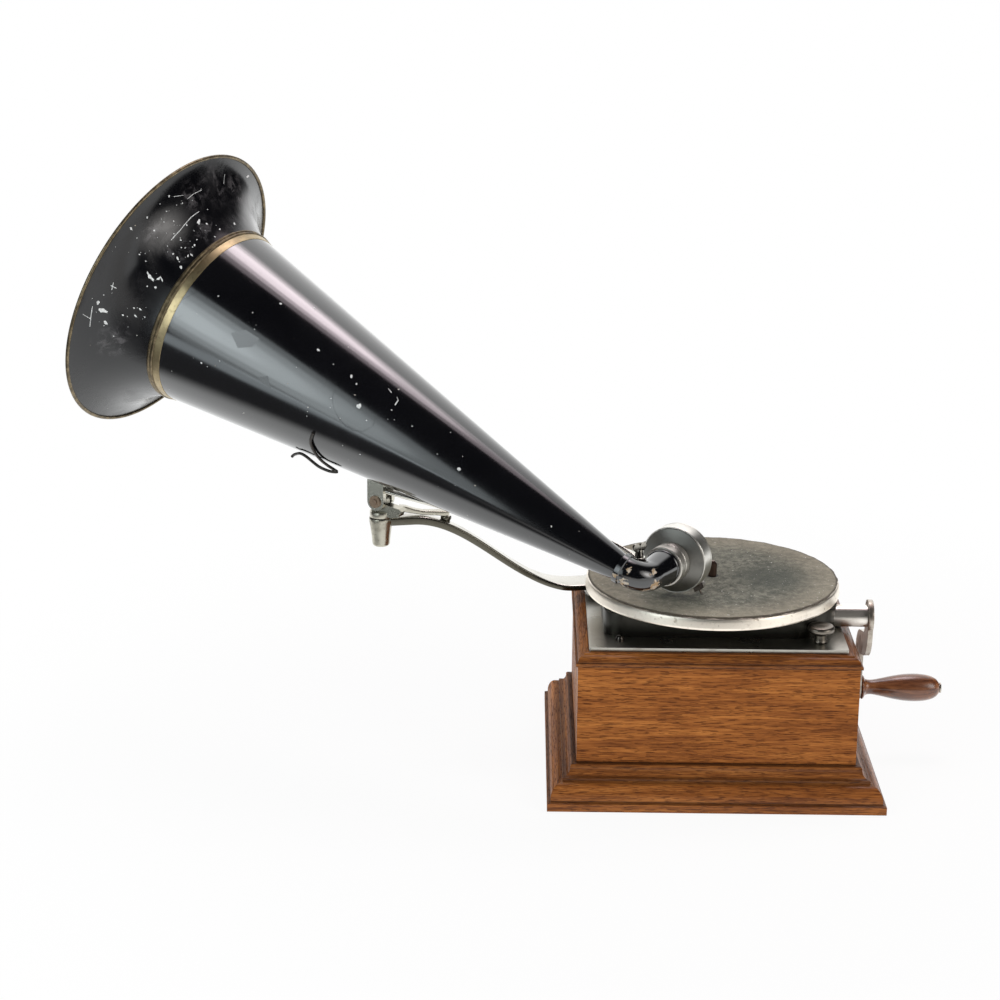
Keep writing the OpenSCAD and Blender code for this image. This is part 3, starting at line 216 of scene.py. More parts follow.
paper_matt = spot.node("ShaderNodeBsdfDiffuse", None, {"Color": (0.88, 0.88, 0.88, 1.0)})
paper_glow = spot.node("ShaderNodeEmission", None, {"Color": paper_rays.blend(mirrored, (1.0, 1.0, 1.0))})
shadow_share = 0.09
mirror_share = 0.9
far_out = spot.away_from((0.0, 0.0, 0.0)).between(0.30, 0.75)
glow_seen = paper_rays * (1.0 - shadow_share + shadow_share * far_out)
glow = glow_seen + paper_rays.also("Is Glossy Ray") * mirror_share
paper_mix = spot.node("ShaderNodeMixShader", None, {0: glow, 1: paper_matt, 2: paper_glow})
feed(paper.node_tree.nodes["Material Output"], "Surface", paper_mix)
floor_mesh.materials.append(paper)


# Case: twelve strips and boards of quarter-sawn oak, stained mid brown and varnished, over a bottom board.
# The plinth and the top strips are moulded, cut to mitres at the corners and glued round the boards.
def finish(name, fixed):
    """A new material, its shader and a tap on the place of each point, in the machine's own frame."""
    material = bpy.data.materials.new(name)
    material.use_nodes = True
    shader = material.node_tree.nodes["Principled BSDF"]
    for socket, value in fixed.items():
        shader.inputs[socket].default_value = value
    place = Tap(material.node_tree).node("ShaderNodeTexCoord", out="Object")
    return material, shader, place


def dent(shader, height, depth):
    """Bump of the given height map; depth is in metres."""
    feed(shader, "Normal", height.node("ShaderNodeBump", None, {"Height": height, "Distance": depth}))


def dress(material, *names):
    for name in names:
        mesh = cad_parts[name].data
        mesh.materials.clear()
        mesh.materials.append(material)


def ease_edges(width, *names):
    """Rounds the sharp edges of solids by a small amount, as sanding or tumbling does."""
    for name in names:
        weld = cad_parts[name].modifiers.new("weld", "WELD")
        weld.merge_threshold = 0.00001
        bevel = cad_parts[name].modifiers.new("eased", "BEVEL")
        bevel.width = width
        bevel.segments = 2
        bevel.limit_method = "ANGLE"
        bevel.angle_limit = math.radians(40.0)
        bevel.harden_normals = True


def oak(name, long_axis, pale, gloss, sheen, *seams):
    """Oak with its grain along one axis. Pale lightens the stain. Painted shade darkens it along the level
    seams, which are (height, spread, share of painted shade)."""
    material, shader, place = finish(name, {
        "Coat Roughness": 0.20, "Coat Weight": gloss, "Specular IOR Level": sheen})

    def along(length, width):
        return place.stretch([1.0 / (length if axis == long_axis else width) for axis in range(3)])

    figure = along(0.24, 0.016).noise(1.0, 4.0, 0.55, 0.9)
    streaks = along(0.045, 0.0022).noise(1.0, 3.0, 0.6)
    pores = along(0.0085, 0.00058).noise(1.0, 1.0).between(0.565, 0.64)
    fine = along(0.016, 0.0006).noise(1.0, 2.0)
    stain_stops = ((0.39, (0.135, 0.038, 0.007)), (0.50, (0.275, 0.089, 0.018)),
                   (0.61, (0.455, 0.168, 0.038)))
    pore_stain = (0.075, 0.020, 0.004)
    tone = figure * 0.36 + streaks * 0.34 + fine * 0.30
    stain = tone.ramp(*[(value, [c * pale for c in colour]) for value, colour in stain_stops])
    wood = (pores * 0.78).blend(stain, [c * pale for c in pore_stain])
    height = place.axis("Z")
    for seam, spread, share in seams:
        # Painted shade: the wood darkens towards each seam's height, where joints and hollows lie.
        shade_at_seam = share * (1.0 - height.maths("ABSOLUTE", height - seam).between(spread * 0.3, spread))
        wood = shade_at_seam.blend(wood, (0.020, 0.008, 0.004))
    feed(shader, "Base Color", wood)
    feed(shader, "Roughness", 0.30 + streaks * 0.22 + pores * 0.2)
    dent(shader, fine * 0.3 - pores, 0.00010)
    return material


long_x = 0
long_y = 1
sheen = 0.12
# Painted shade: each band darkens the oak at a joint or in a hollow of the moulding, where shade falls.
board_shade_bands = ((0.0322, 0.0010, 0.85), (0.1118, 0.0008, 0.7))
plinth_shade_bands = ((0.0222, 0.0034, 0.60), (0.0290, 0.0050, 0.26), (0.0322, 0.0006, 0.7),
                (0.0074, 0.0014, 0.65))
top_shade_bands = ((0.1121, 0.0006, 0.7), (0.1148, 0.0008, 0.5))
case_tiers = (("board", "case_", 1.06, 0.03, board_shade_bands),
              ("plinth", "base_strip_", 0.96, 0.20, plinth_shade_bands),
              ("top", "top_strip_", 0.74, 0.20, top_shade_bands))
# The sun has bleached the front and the left most, and the left has lost nearly all its polish.
for side, long_axis, sunned, polish in (("front", long_x, 1.0, 1.0), ("back", long_x, 0.9, 1.0),
                                        ("left", long_y, 1.0, 0.2), ("right", long_y, 0.85, 1.0)):
    for tier, strip, pale, gloss, seams in case_tiers:
        tier_oak = oak("oak_%s_%s" % (tier, side), long_axis, pale * sunned, gloss * polish,
                       sheen * polish, *seams)
        dress(tier_oak, strip + side)
        ease_edges(0.0006, strip + side)
dress(oak("oak_bottom", long_x, 0.8, 0.0, sheen), "bottom_board")


# Bed plate and motor housing: an iron plate let in between the top strips, and a shallow cast cover on it.
# Both are nickel-plated; the plate is still bright, the cover painted nearly black as painted shade.
# Dome-headed bolts hold both.
def nickel(name, colour, smooth, rough, stain, stain_colour=(0.16, 0.12, 0.085), sides=None):
    """Old plated or bare metal, clouded and stained; sides, if given, is a darker colour painted on faces
    that do not look up, as painted shade.
    """
    material, shader, place = finish(name, {"Metallic": 1.0})
    cloud = place.noise(38.0, 5.0, 0.6)
    specks = place.noise(420.0, 2.0, 0.6).between(0.62, 0.74)
    wear = (cloud * 0.7 + place.noise(150.0, 4.0) * 0.3).between(0.50, 0.66)
    lines = place.stretch((60.0, 60.0, 1100.0)).noise(1.0, 2.0)
    stained = (wear * 0.75 + specks * 0.5) * stain
    plating = stained.blend(colour, stain_colour)
    # Painted shade: faces that do not look up take the darker sides colour.
    if sides:
        lit_from_above = place.node("ShaderNodeNewGeometry", out="Normal").axis("Z").between(0.45, 0.85)
        plating = lit_from_above.blend(stained.blend(sides, stain_colour), plating)
    feed(shader, "Base Color", plating)
    feed(shader, "Roughness", smooth + cloud * (rough - smooth) + stained * 0.25)
    dent(shader, lines * 0.4 - specks * 0.6, 0.00005)
    return material


def skin(rings, loop):
    """Points, faces and texture places of a skin over closed rings; loop joins the last to the first."""
    count = len(rings[0])
    points = [point for ring in rings for point in ring]
    faces = []
    places = []
    lengths = [0.0]
    for a, b in zip(rings[0], rings[0][1:] + rings[0][:1]):
        lengths.append(lengths[-1] + (b - a).length)
    steps = len(rings) if loop else len(rings) - 1
    for i in range(steps):
        j = (i + 1) % len(rings)
        for k in range(count):
            m = (k + 1) % count
            faces.append((i * count + k, j * count + k, j * count + m, i * count + m))
            places.append(((i / steps, lengths[k]), ((i + 1) / steps, lengths[k]),
                           ((i + 1) / steps, lengths[k + 1]), (i / steps, lengths[k + 1])))
    if not loop:
        faces.append(tuple(range(count)))
        faces.append(tuple(range(len(points) - 1, len(points) - 1 - count, -1)))
        places.append(((0.0, 0.0),) * count)
        places.append(((1.0, 0.0),) * count)
    return points, faces, places


def turned(profile, place, turns):
    """A closed profile of (radius, height) points turned round the Z axis of a frame."""
    angles = [2.0 * math.pi * i / turns for i in range(turns)]
    rings = [[place @ Vector((r * math.cos(a), r * math.sin(a), z)) for r, z in profile] for a in angles]
    return skin(rings, True)


def eased(profile, radius):
    """The same closed profile with each corner rounded."""
    rounded = []
    for i, corner in enumerate(profile):
        here = Vector(corner)
        before = Vector(profile[i - 1]) - here
        after = Vector(profile[(i + 1) % len(profile)]) - here
        most_of_edge = 0.45
        run = min(radius, most_of_edge * before.length, most_of_edge * after.length)
        start = here + before.normalized() * run
        end = here + after.normalized() * run
        for t in (0.0, 0.25, 0.5, 0.75, 1.0):
            rounded.append(tuple(start * (1 - t) ** 2 + here * 2 * t * (1 - t) + end * t * t))
    return rounded


def frame_at(place, x=(1, 0, 0), y=(0, 1, 0), z=(0, 0, 1)):
    """A frame at a place, upright unless its three axes are given."""
    return Matrix([[x[i], y[i], z[i], place[i]] for i in range(3)] + [[0.0, 0.0, 0.0, 1.0]])


def piece(name, form, body, material, *stands_for, slot=None):
    """A new piece that moves with a body, stands for some of the plain solids and takes the given material;
    slot is not used.
    """
    sharp_from = math.radians(32.0)
    points, faces, places = form
    mesh = bpy.data.meshes.new(name)
    mesh.from_pydata([tuple(point) for point in points], [], faces)
    layer = mesh.uv_layers.new(name="turned")
    for polygon, corners in zip(mesh.polygons, places):
        polygon.use_smooth = True
        for index, corner in zip(polygon.loop_indices, corners):
            layer.data[index].uv = corner
    mesh.set_sharp_from_angle(angle=sharp_from)
    mesh.materials.append(material)
    made = bpy.data.objects.new(name, mesh)
    scene.collection.objects.link(made)
    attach(made, body)
    if stands_for:
        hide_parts(*stands_for)


plate_nickel = nickel("plate_nickel", (0.40, 0.39, 0.35), 0.22, 0.36, 0.25)
# Painted shade: the cover's plating is coloured nearly black for the turntable's shade over it.
shade_black_nickel = nickel("shade_black_nickel", (0.046, 0.044, 0.038), 0.34, 0.50, 0.25, (0.015, 0.013, 0.011))
bolt_steel = nickel("bolt_steel", (0.06, 0.057, 0.053), 0.14, 0.30, 0.30)
dress(plate_nickel, "bed_plate")
dress(shade_black_nickel, "motor_housing")
ease_edges(0.0005, "bed_plate")
ease_edges(0.0012, "motor_housing")
plate_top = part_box("bed_plate")[1][2]
bolts_low, bolts_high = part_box("plate_bolts")
# Turned profiles stop just short of their axis.
axis_r = 0.00004
bolt_r = 0.0034
bolt_rim = 0.0004
bolt_rise = bolt_r * 1.3
dome_angles = [math.radians(degrees) for degrees in range(88, 0, -8)]
dome = [(bolt_r * math.sin(a), bolt_rim + bolt_rise * math.cos(a)) for a in dome_angles]
bolt_outline = [(axis_r, 0.0), (bolt_r, 0.0)] + dome + [(axis_r, bolt_rim + bolt_rise)]
for corner, x, y in (("front_left", bolts_low.x, bolts_low.y), ("back_left", bolts_low.x, bolts_high.y),
                     ("back_right", bolts_high.x, bolts_high.y)):
    bolt_place = (x - math.copysign(bolt_r, x), y - math.copysign(bolt_r, y), plate_top)
    piece("bolt_" + corner, turned(bolt_outline, frame_at(bolt_place), 40), "base", bolt_steel,
          "plate_bolts", slot="steel")


# Motor: a brass spring barrel, brass wheels and turned steel arbors between two plates.
# It hangs from the bed plate on three pillars, inside the case.
motor_brass = nickel("motor_brass", (0.72, 0.52, 0.20), 0.16, 0.34, 0.25, (0.20, 0.11, 0.03))
motor_steel = nickel("motor_steel", (0.46, 0.45, 0.44), 0.18, 0.36, 0.20)
dress(motor_brass, "spring_barrel", "barrel_lid", "crown_gear", "second_wheel", "spindle_wheel",
      "governor_weights", "governor_disc")
dress(motor_steel, "motor_base", "motor_pillars", "mainspring", "winding_arbor", "crank_shaft",
      "second_arbor", "governor_shaft", "governor_springs", "speed_lever", "lever_bracket")


# Crank: a plated sleeve through the cover's wall, a flat forged arm with two bends, and a turned handle.
# The handle is a reddish hardwood under a thick gloss varnish, free on its pin.
worn_nickel = nickel("worn_nickel", (0.78, 0.74, 0.68), 0.28, 0.40, 0.18)
rusty_nickel = nickel("rusty_nickel", (0.42, 0.38, 0.33), 0.20, 0.45, 0.85, (0.13, 0.075, 0.045))
dress(worn_nickel, "crank_sleeve")
dress(rusty_nickel, "crank_arm")
ease_edges(0.0009, "crank_arm")
handle_wood, shader, place = finish("handle_wood", {"Coat Weight": 0.45, "Coat Roughness": 0.10})
handle_grain = place.stretch((22.0, 260.0, 260.0)).noise(1.0, 4.0, 0.6, 0.5)
feed(shader, "Base Color", handle_grain.ramp(
    (0.32, (0.058, 0.016, 0.006)), (0.50, (0.165, 0.055, 0.018)), (0.68, (0.290, 0.115, 0.038))))
feed(shader, "Roughness", 0.25 + handle_grain * 0.15)
handle_low, handle_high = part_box("crank_handle")
handle_l = handle_high.x - handle_low.x
handle_place = (handle_low.x, (handle_low.y + handle_high.y) / 2, (handle_low.z + handle_high.z) / 2)
handle_frame = frame_at(handle_place, (0, 1, 0), (0, 0, 1), (1, 0, 0))
pin_r = 0.0031
handle_shape = [(0.0, 0.0090), (0.016, 0.0101), (0.034, 0.0094), (0.055, 0.0068), (0.095, 0.0060),
                (0.14, 0.0060), (0.20, 0.0066), (0.30, 0.0080), (0.42, 0.0097), (0.54, 0.0109),
                (0.66, 0.0114), (0.76, 0.0112), (0.85, 0.0104), (0.92, 0.0090), (0.965, 0.0072),
                (0.99, 0.0054), (1.0, 0.0042)]
handle_outline = [(pin_r, 0.0)] + [(r, share * handle_l) for share, r in handle_shape] + [(pin_r, handle_l)]
piece("handle_grip", turned(eased(handle_outline, 0.003), handle_frame, 96), "handle", handle_wood,
      "crank_handle", slot="handle_wood")


# Speed screw: a plated knob on a short neck, which screws down through the plate's front right corner.
# It is turned from one bar, so its top carries fine concentric tool marks under the plating.
def turned_metal(name, colour, smooth, rough, ring_depth):
    """Lathe-turned metal: rings along the profile, with a little tarnish."""
    material, shader, place = finish(name, {"Metallic": 1.0, "Anisotropic": 0.5})
    spun = place.node("ShaderNodeTexCoord", out="UV")
    rings = spun.stretch((3.0, 2600.0, 0.0)).noise(1.0, 3.0, 0.6)
    cloud = place.noise(60.0, 5.0, 0.6)
    tarnish = (cloud * 0.8 + place.noise(300.0, 3.0) * 0.2).between(0.48, 0.68) * 0.4
    feed(shader, "Base Color", tarnish.blend(colour, [c * 0.45 for c in colour]))
    feed(shader, "Roughness", smooth + (rings * 0.5 + cloud * 0.5) * (rough - smooth))
    dent(shader, rings, ring_depth)
    return material


satin_turned = turned_metal("satin_turned", (0.19, 0.17, 0.145), 0.26, 0.42, 0.00004)
screw_low, screw_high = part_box("speed_screw")
screw_place = ((screw_low.x + screw_high.x) / 2, (screw_low.y + screw_high.y) / 2, plate_top)
screw_top = screw_high.z - plate_top
head_r = (screw_high.x - screw_low.x) / 2
screw_outline = [(axis_r, 0.0004), (0.0053, 0.0004), (0.0050, 0.0016), (0.0046, 0.0022), (0.0046, 0.0066),
                 (0.0056, 0.0080), (head_r - 0.0012, 0.0086), (head_r, 0.0098), (head_r, screw_top - 0.0022),
                 (head_r - 0.0012, screw_top - 0.0008), (head_r - 0.004, screw_top - 0.0003),
                 (axis_r, screw_top)]
piece("speed_knob", turned(eased(screw_outline, 0.0007), frame_at(screw_place), 96), "speed", satin_turned,
      "speed_screw", slot="nickel")


# Turntable: a pressed steel platter with a turned-down rim, plated and brushed round its edge.
# A disc of olive felt is glued on top. It is worn, rippled near the edge, and its edge is ragged.
rim_nickel, shader, place = finish("rim_nickel", {"Metallic": 1.0})
spun = place.node("ShaderNodeTexCoord", out="UV")
brush = spun.stretch((90.0, 2200.0, 0.0)).noise(1.0, 4.0, 0.65)
streak = spun.stretch((160.0, 300.0, 0.0)).noise(1.0, 3.0, 0.6)
knocks = place.noise(130.0, 2.0).between(0.66, 0.72)
grime = (streak * 0.6 + place.noise(55.0, 4.0) * 0.4).between(0.52, 0.70) * 0.6
feed(shader, "Base Color", (grime * 0.5 + knocks * 0.6).blend((0.86, 0.79, 0.69), (0.30, 0.24, 0.18)))
feed(shader, "Roughness", 0.34 + brush * 0.16 + grime * 0.15)
dent(shader, brush * 0.25 - knocks * 0.6, 0.00014)
table_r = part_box("turntable")[1].x
table_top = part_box("turntable")[1].z
rim_low = 0.1439
hub_bore = 0.0041
hub_r = 0.0140
hub_low = 0.1434
platter_low = table_top - 0.0022
platter_outline = [(hub_bore, table_top), (table_r - 0.0030, table_top),
                   (table_r - 0.0012, table_top - 0.0010), (table_r - 0.0006, table_top - 0.0030),
                   (table_r, rim_low + 0.0018),
                   (table_r - 0.0004, rim_low + 0.0003), (table_r - 0.0014, rim_low),
                   (table_r - 0.0022, rim_low + 0.0006), (table_r - 0.0028, table_top - 0.0040),
                   (table_r - 0.0050, platter_low), (hub_r, platter_low), (hub_r, hub_low),
                   (hub_bore, hub_low)]
piece("platter", turned(eased(platter_outline, 0.0008), frame_at((0, 0, 0)), 224), "turntable", rim_nickel,
      "turntable", slot="nickel")

felt, shader, place = finish("felt", {"Sheen Weight": 0.10, "Sheen Roughness": 0.5, "Roughness": 0.95})
damp_spot = (0.046, -0.004, 0.1545)
blotch = place.noise(26.0, 6.0, 0.68, 0.5)
nap = place.noise(620.0, 3.0, 0.75)
fluff = place.noise(170.0, 5.0, 0.78)
felt_out = place.stretch((1.0, 1.0, 0.0)).away_from((0.0, 0.0, 0.0))
worn_edge = felt_out.between(0.058, 0.0985) * (0.2 + fluff)
damp = (1.0 - place.away_from(damp_spot).between(0.008, 0.044)) * (0.35 + blotch * 0.7)
lint = place.noise(520.0, 1.0).between(0.735, 0.77)
felt_tone = blotch * 0.30 + fluff * 0.48 + nap * 0.22
felt_green = felt_tone.ramp(
    (0.40, (0.040, 0.042, 0.030)), (0.49, (0.108, 0.109, 0.082)), (0.58, (0.235, 0.230, 0.178)))
felt_dark = damp.blend(felt_green, (0.045, 0.054, 0.040))
felt_tan = (worn_edge * 0.80).blend(felt_dark, (0.370, 0.325, 0.240))
# Painted shade: a dark ring just inside the felt's edge stands for the shade of its frayed side.
felt_edge_shade = felt_out.between(0.0974, 0.0990) * (0.45 + fluff)
felt_worn_and_edge_shade = (felt_edge_shade * 0.9).blend(felt_tan, (0.050, 0.038, 0.024))
feed(shader, "Base Color", lint.blend(felt_worn_and_edge_shade, (0.62, 0.60, 0.55)))
dent(shader, nap * 0.5 + fluff * 0.5, 0.0009)
felt_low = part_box("turntable_felt")[0].z
felt_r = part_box("turntable_felt")[1].x
felt_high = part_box("turntable_felt")[1].z
felt_bore = 0.0052
felt_turns = 360
felt_steps = 44
ripples_from = 0.075
nap_top = felt_high - 0.0003
felt_runs = [felt_bore + (felt_r - felt_bore - 0.0010) * i / felt_steps for i in range(felt_steps + 1)]
felt_rings = []
for i in range(felt_turns):
    a = 2.0 * math.pi * i / felt_turns
    outward = Vector((math.cos(a), math.sin(a), 0.0))
    ragged = 0.0008 * noise.noise(outward * 9.0) + 0.0004 * noise.noise(outward * 40.0)
    felt_outline = []
    for r in felt_runs:
        edge = max(0.0, (r - ripples_from) / (felt_r - ripples_from))
        ripple = (0.00012 * noise.noise(outward * (r * 120.0))
                  + edge * 0.00028 * noise.noise(outward * (7.0 + r * 160.0)))
        felt_outline.append((r + ragged * (r / felt_r) ** 8, nap_top + ripple))
    felt_edge = felt_r + ragged
    felt_outline += [(felt_edge - 0.0004, felt_high - 0.00045), (felt_edge, felt_low + 0.0004),
                     (felt_edge - 0.0003, felt_low), (felt_bore, felt_low)]
    felt_rings.append([Vector((r * outward.x, r * outward.y, z)) for r, z in felt_outline])
piece("felt_disc", skin(felt_rings, True), "turntable", felt, "turntable_felt", slot="felt")
spindle_steel = nickel("spindle_steel", (0.15, 0.10, 0.08), 0.25, 0.45, 0.6, (0.06, 0.036, 0.026))
# The centre washer is nearly black: partly its own dark steel, partly painted shade in the felt's hole round
# the spindle.
washer_black_and_shade = nickel("washer_black_and_shade", (0.016, 0.014, 0.012), 0.40, 0.60, 0.3, (0.008, 0.006, 0.005))
dress(spindle_steel, "spindle")
dress(washer_black_and_shade, "centre_washer")


# Support arm: a nickel-plated casting. Its broad foot is screwed to the plate at the back left.
# From there it narrows, rises in an S and runs into a tapered upright socket. A peg stands on its high end.
# Painted shade: the arm's sides take a dark colour, and only its upper faces keep the bright plating.
arm_nickel = nickel("arm_nickel", (0.50, 0.485, 0.44), 0.20, 0.34, 0.35, (0.10, 0.085, 0.06),
                    sides=(0.105, 0.098, 0.078))
socket_nickel = nickel("socket_nickel", (0.42, 0.40, 0.335), 0.20, 0.36, 0.60, (0.09, 0.078, 0.055))
up = Vector((0.0, 0.0, 1.0))
foot_centre = Vector((-0.085, 0.046, 0.0))
pivot = Vector((-0.2658, 0.0078, 0.213))
arm_dir = Vector((pivot.x - foot_centre.x, pivot.y - foot_centre.y, 0.0))
arm_l = arm_dir.length
arm_dir.normalize()
arm_side = Vector((-arm_dir.y, arm_dir.x, 0.0))
arm_low = 0.1323
arm_high = 0.195
rise_from = 0.026
rise_to = 0.160


def arm_height(s):
    t = min(1.0, max(0.0, (s - rise_from) / (rise_to - rise_from)))
    return arm_low + (arm_high - arm_low) * (1.0 - math.cos(math.pi * t)) / 2.0


def on_arm(s, height):
    """A point over the arm's line, s out from the middle of its foot."""
    return foot_centre + arm_dir * s + up * height


def between_stops(s, stops):
    """Straight-line value between (place, value) stops."""
    for (a, low), (b, high) in zip(stops, stops[1:]):
        if s <= b:
            return low + (high - low) * max(0.0, (s - a) / (b - a))
    return stops[-1][1]


def flat_section(half_w, half_h, corner, count=6):
    """Section of a flat bar with rounded corners, as (across, over) points."""
    section = []
    for cx, cy, start in ((1, 1, 0), (-1, 1, 90), (-1, -1, 180), (1, -1, 270)):
        for k in range(count):
            a = math.radians(start + 90.0 * k / (count - 1))
            section.append((cx * (half_w - corner) + corner * math.cos(a),
                            cy * (half_h - corner) + corner * math.sin(a)))
    return section


def drawn(centres, side, sections):
    """A bar along its centre points, with a section at each; the sections stand square to the run."""
    rings = []
    for i, (centre, section) in enumerate(zip(centres, sections)):
        run = centres[min(i + 1, len(centres) - 1)] - centres[max(i - 1, 0)]
        across = (side - run * (side.dot(run) / run.dot(run))).normalized()
        over = run.cross(across).normalized()
        rings.append([centre + across * u + over * v for u, v in section])
    return skin(rings, False)


arm_back = -0.014
arm_steps = 80
arm_stations = [arm_back + (arm_l - arm_back) * i / arm_steps for i in range(arm_steps + 1)]
arm_halves = [(arm_back, 0.0130), (0.036, 0.0130), (0.048, 0.0105), (0.062, 0.0074), (0.096, 0.0060),
              (0.20, 0.0060)]
arm_depths = [(rise_from, 0.0024), (0.10, 0.0029), (rise_to, 0.0035)]
arm_sections = [flat_section(between_stops(s, arm_halves), between_stops(s, arm_depths), 0.0016)
                for s in arm_stations]
arm_bar = drawn([on_arm(s, arm_height(s)) for s in arm_stations], arm_side, arm_sections)
foot_half = 0.0017
foot_stations = ((-0.018, 0.0007), (-0.0172, 0.0), (0.0152, 0.0), (0.016, 0.0007))
foot_sections = [flat_section(0.015 - cut, foot_half - cut, 0.0008) for s, cut in foot_stations]
arm_foot = drawn([on_arm(s, plate_top + foot_half) for s, cut in foot_stations], arm_side, foot_sections)
pad_sections = [flat_section(0.0078, 0.0118, 0.003), flat_section(0.0068, 0.0108, 0.003)]
arm_pad = drawn([on_arm(-0.002, height) for height in (plate_top + 0.003, arm_low)], arm_side, pad_sections)
socket_low = 0.1744
socket_high = pivot.z - 0.0144
socket_floor = socket_low + 0.003
bore_r = 0.00505
socket_outline = [(bore_r, socket_floor), (axis_r, socket_floor), (axis_r, socket_low), (0.0058, socket_low),
                  (0.0070, socket_low + 0.0014), (0.0076, socket_low + 0.008), (0.0088, socket_high - 0.007),
                  (0.0095, socket_high - 0.003), (0.0095, socket_high - 0.0008), (0.0088, socket_high),
                  (bore_r, socket_high)]
arm_socket = turned(eased(socket_outline, 0.0012), frame_at((pivot.x, pivot.y, 0.0)), 72)
peg_at = 0.132
peg_outline = [(axis_r, 0.0), (0.0034, 0.0), (0.0034, 0.0040), (0.0044, 0.0056), (0.0044, 0.0074),
               (0.0036, 0.0083), (axis_r, 0.0083)]
arm_peg = turned(eased(peg_outline, 0.0006), frame_at(on_arm(peg_at, arm_height(peg_at))), 48)
for name, form, plating in (("arm_bar", arm_bar, arm_nickel), ("arm_foot", arm_foot, arm_nickel),
                            ("arm_pad", arm_pad, arm_nickel), ("arm_socket", arm_socket, socket_nickel),
                            ("arm_peg", arm_peg, arm_nickel)):
    piece(name, form, "base", plating, "support_arm", slot="nickel")
dress(bolt_steel, "arm_screws")


# Swivel and carrier: a forked bracket that holds the horn from below, on a head that turns in the socket.
# Both are plated castings, and a thin tail of the head lies along the arm.
# A pin with rusty washers goes through the fork and the head, so that the horn can be tilted up.
pin_rust = nickel("pin_rust", (0.30, 0.22, 0.16), 0.35, 0.60, 0.9, (0.075, 0.045, 0.030))
carrier_nickel = nickel("carrier_nickel", (0.60, 0.58, 0.50), 0.16, 0.30, 0.40, (0.10, 0.085, 0.06))
dress(socket_nickel, "swivel_head")
dress(carrier_nickel, "horn_carrier")
dress(pin_rust, "tilt_pin")
ease_edges(0.0007, "swivel_head")
ease_edges(0.0003, "tilt_pin")
# Each stop of the tail: how far it is from the pivot, its height, and half its width and depth.
tail_stops = [(0.0150, 0.2046, 0.0036, 0.0026), (0.0200, 0.2040, 0.0036, 0.0024),
              (0.0260, 0.2022, 0.0034, 0.0018), (0.0340, 0.2004, 0.0034, 0.0017),
              (0.0430, 0.1998, 0.0036, 0.0018), (0.0500, 0.1993, 0.0044, 0.0020),
              (0.0540, 0.1990, 0.0040, 0.0019), (0.0552, 0.1989, 0.0026, 0.0012)]
tail_centres = [Vector((pivot.x, pivot.y, height)) - arm_dir * out for out, height, *halves in tail_stops]
tail_sections = [flat_section(*halves, 0.0009) for out, height, *halves in tail_stops]
piece("swivel_tail", drawn(tail_centres, arm_side, tail_sections), "swivel", socket_nickel, slot="nickel")


# Elbow: a cast tube that turns the sound from the sound box up into the horn, japanned black.
# The lacquer is chipped at the bend, down to ochre primer and bare metal.
horn_az = math.radians(150.5)
horn_el = math.radians(21.6)
horn_flat = Vector((math.cos(horn_az), math.sin(horn_az), 0.0))
horn_dir = horn_flat * math.cos(horn_el) + up * math.sin(horn_el)
horn_down = horn_flat * math.sin(horn_el) - up * math.cos(horn_el)
horn_near = Vector((-math.sin(horn_az), math.cos(horn_az), 0.0))
box_az = math.radians(62.5)
box_dir = Vector((math.cos(box_az), math.sin(box_az), 0.0))
box_right = Vector((math.sin(box_az), -math.cos(box_az), 0.0))
box_pos = Vector((-0.0355, -0.057, 0.186))
elbow_reach = 0.057
horn_seat = 0.005
bend_r = 0.015
bend_steps = 28
elbow_corner = box_pos - box_dir * elbow_reach
bend_angle = math.acos(-horn_dir.dot(box_dir))
bend_tangent = bend_r * math.tan(bend_angle / 2.0)
bend_start = elbow_corner + horn_dir * bend_tangent
bend_end = elbow_corner + box_dir * bend_tangent
bend_in = (box_dir - horn_dir * box_dir.dot(horn_dir)).normalized()
bend_up = horn_dir.cross(bend_in).normalized()
bend_centre = bend_start + bend_in * bend_r
horn_pos = bend_start + horn_dir * horn_seat
horn_frame = frame_at(horn_pos, horn_down, horn_near, horn_dir)


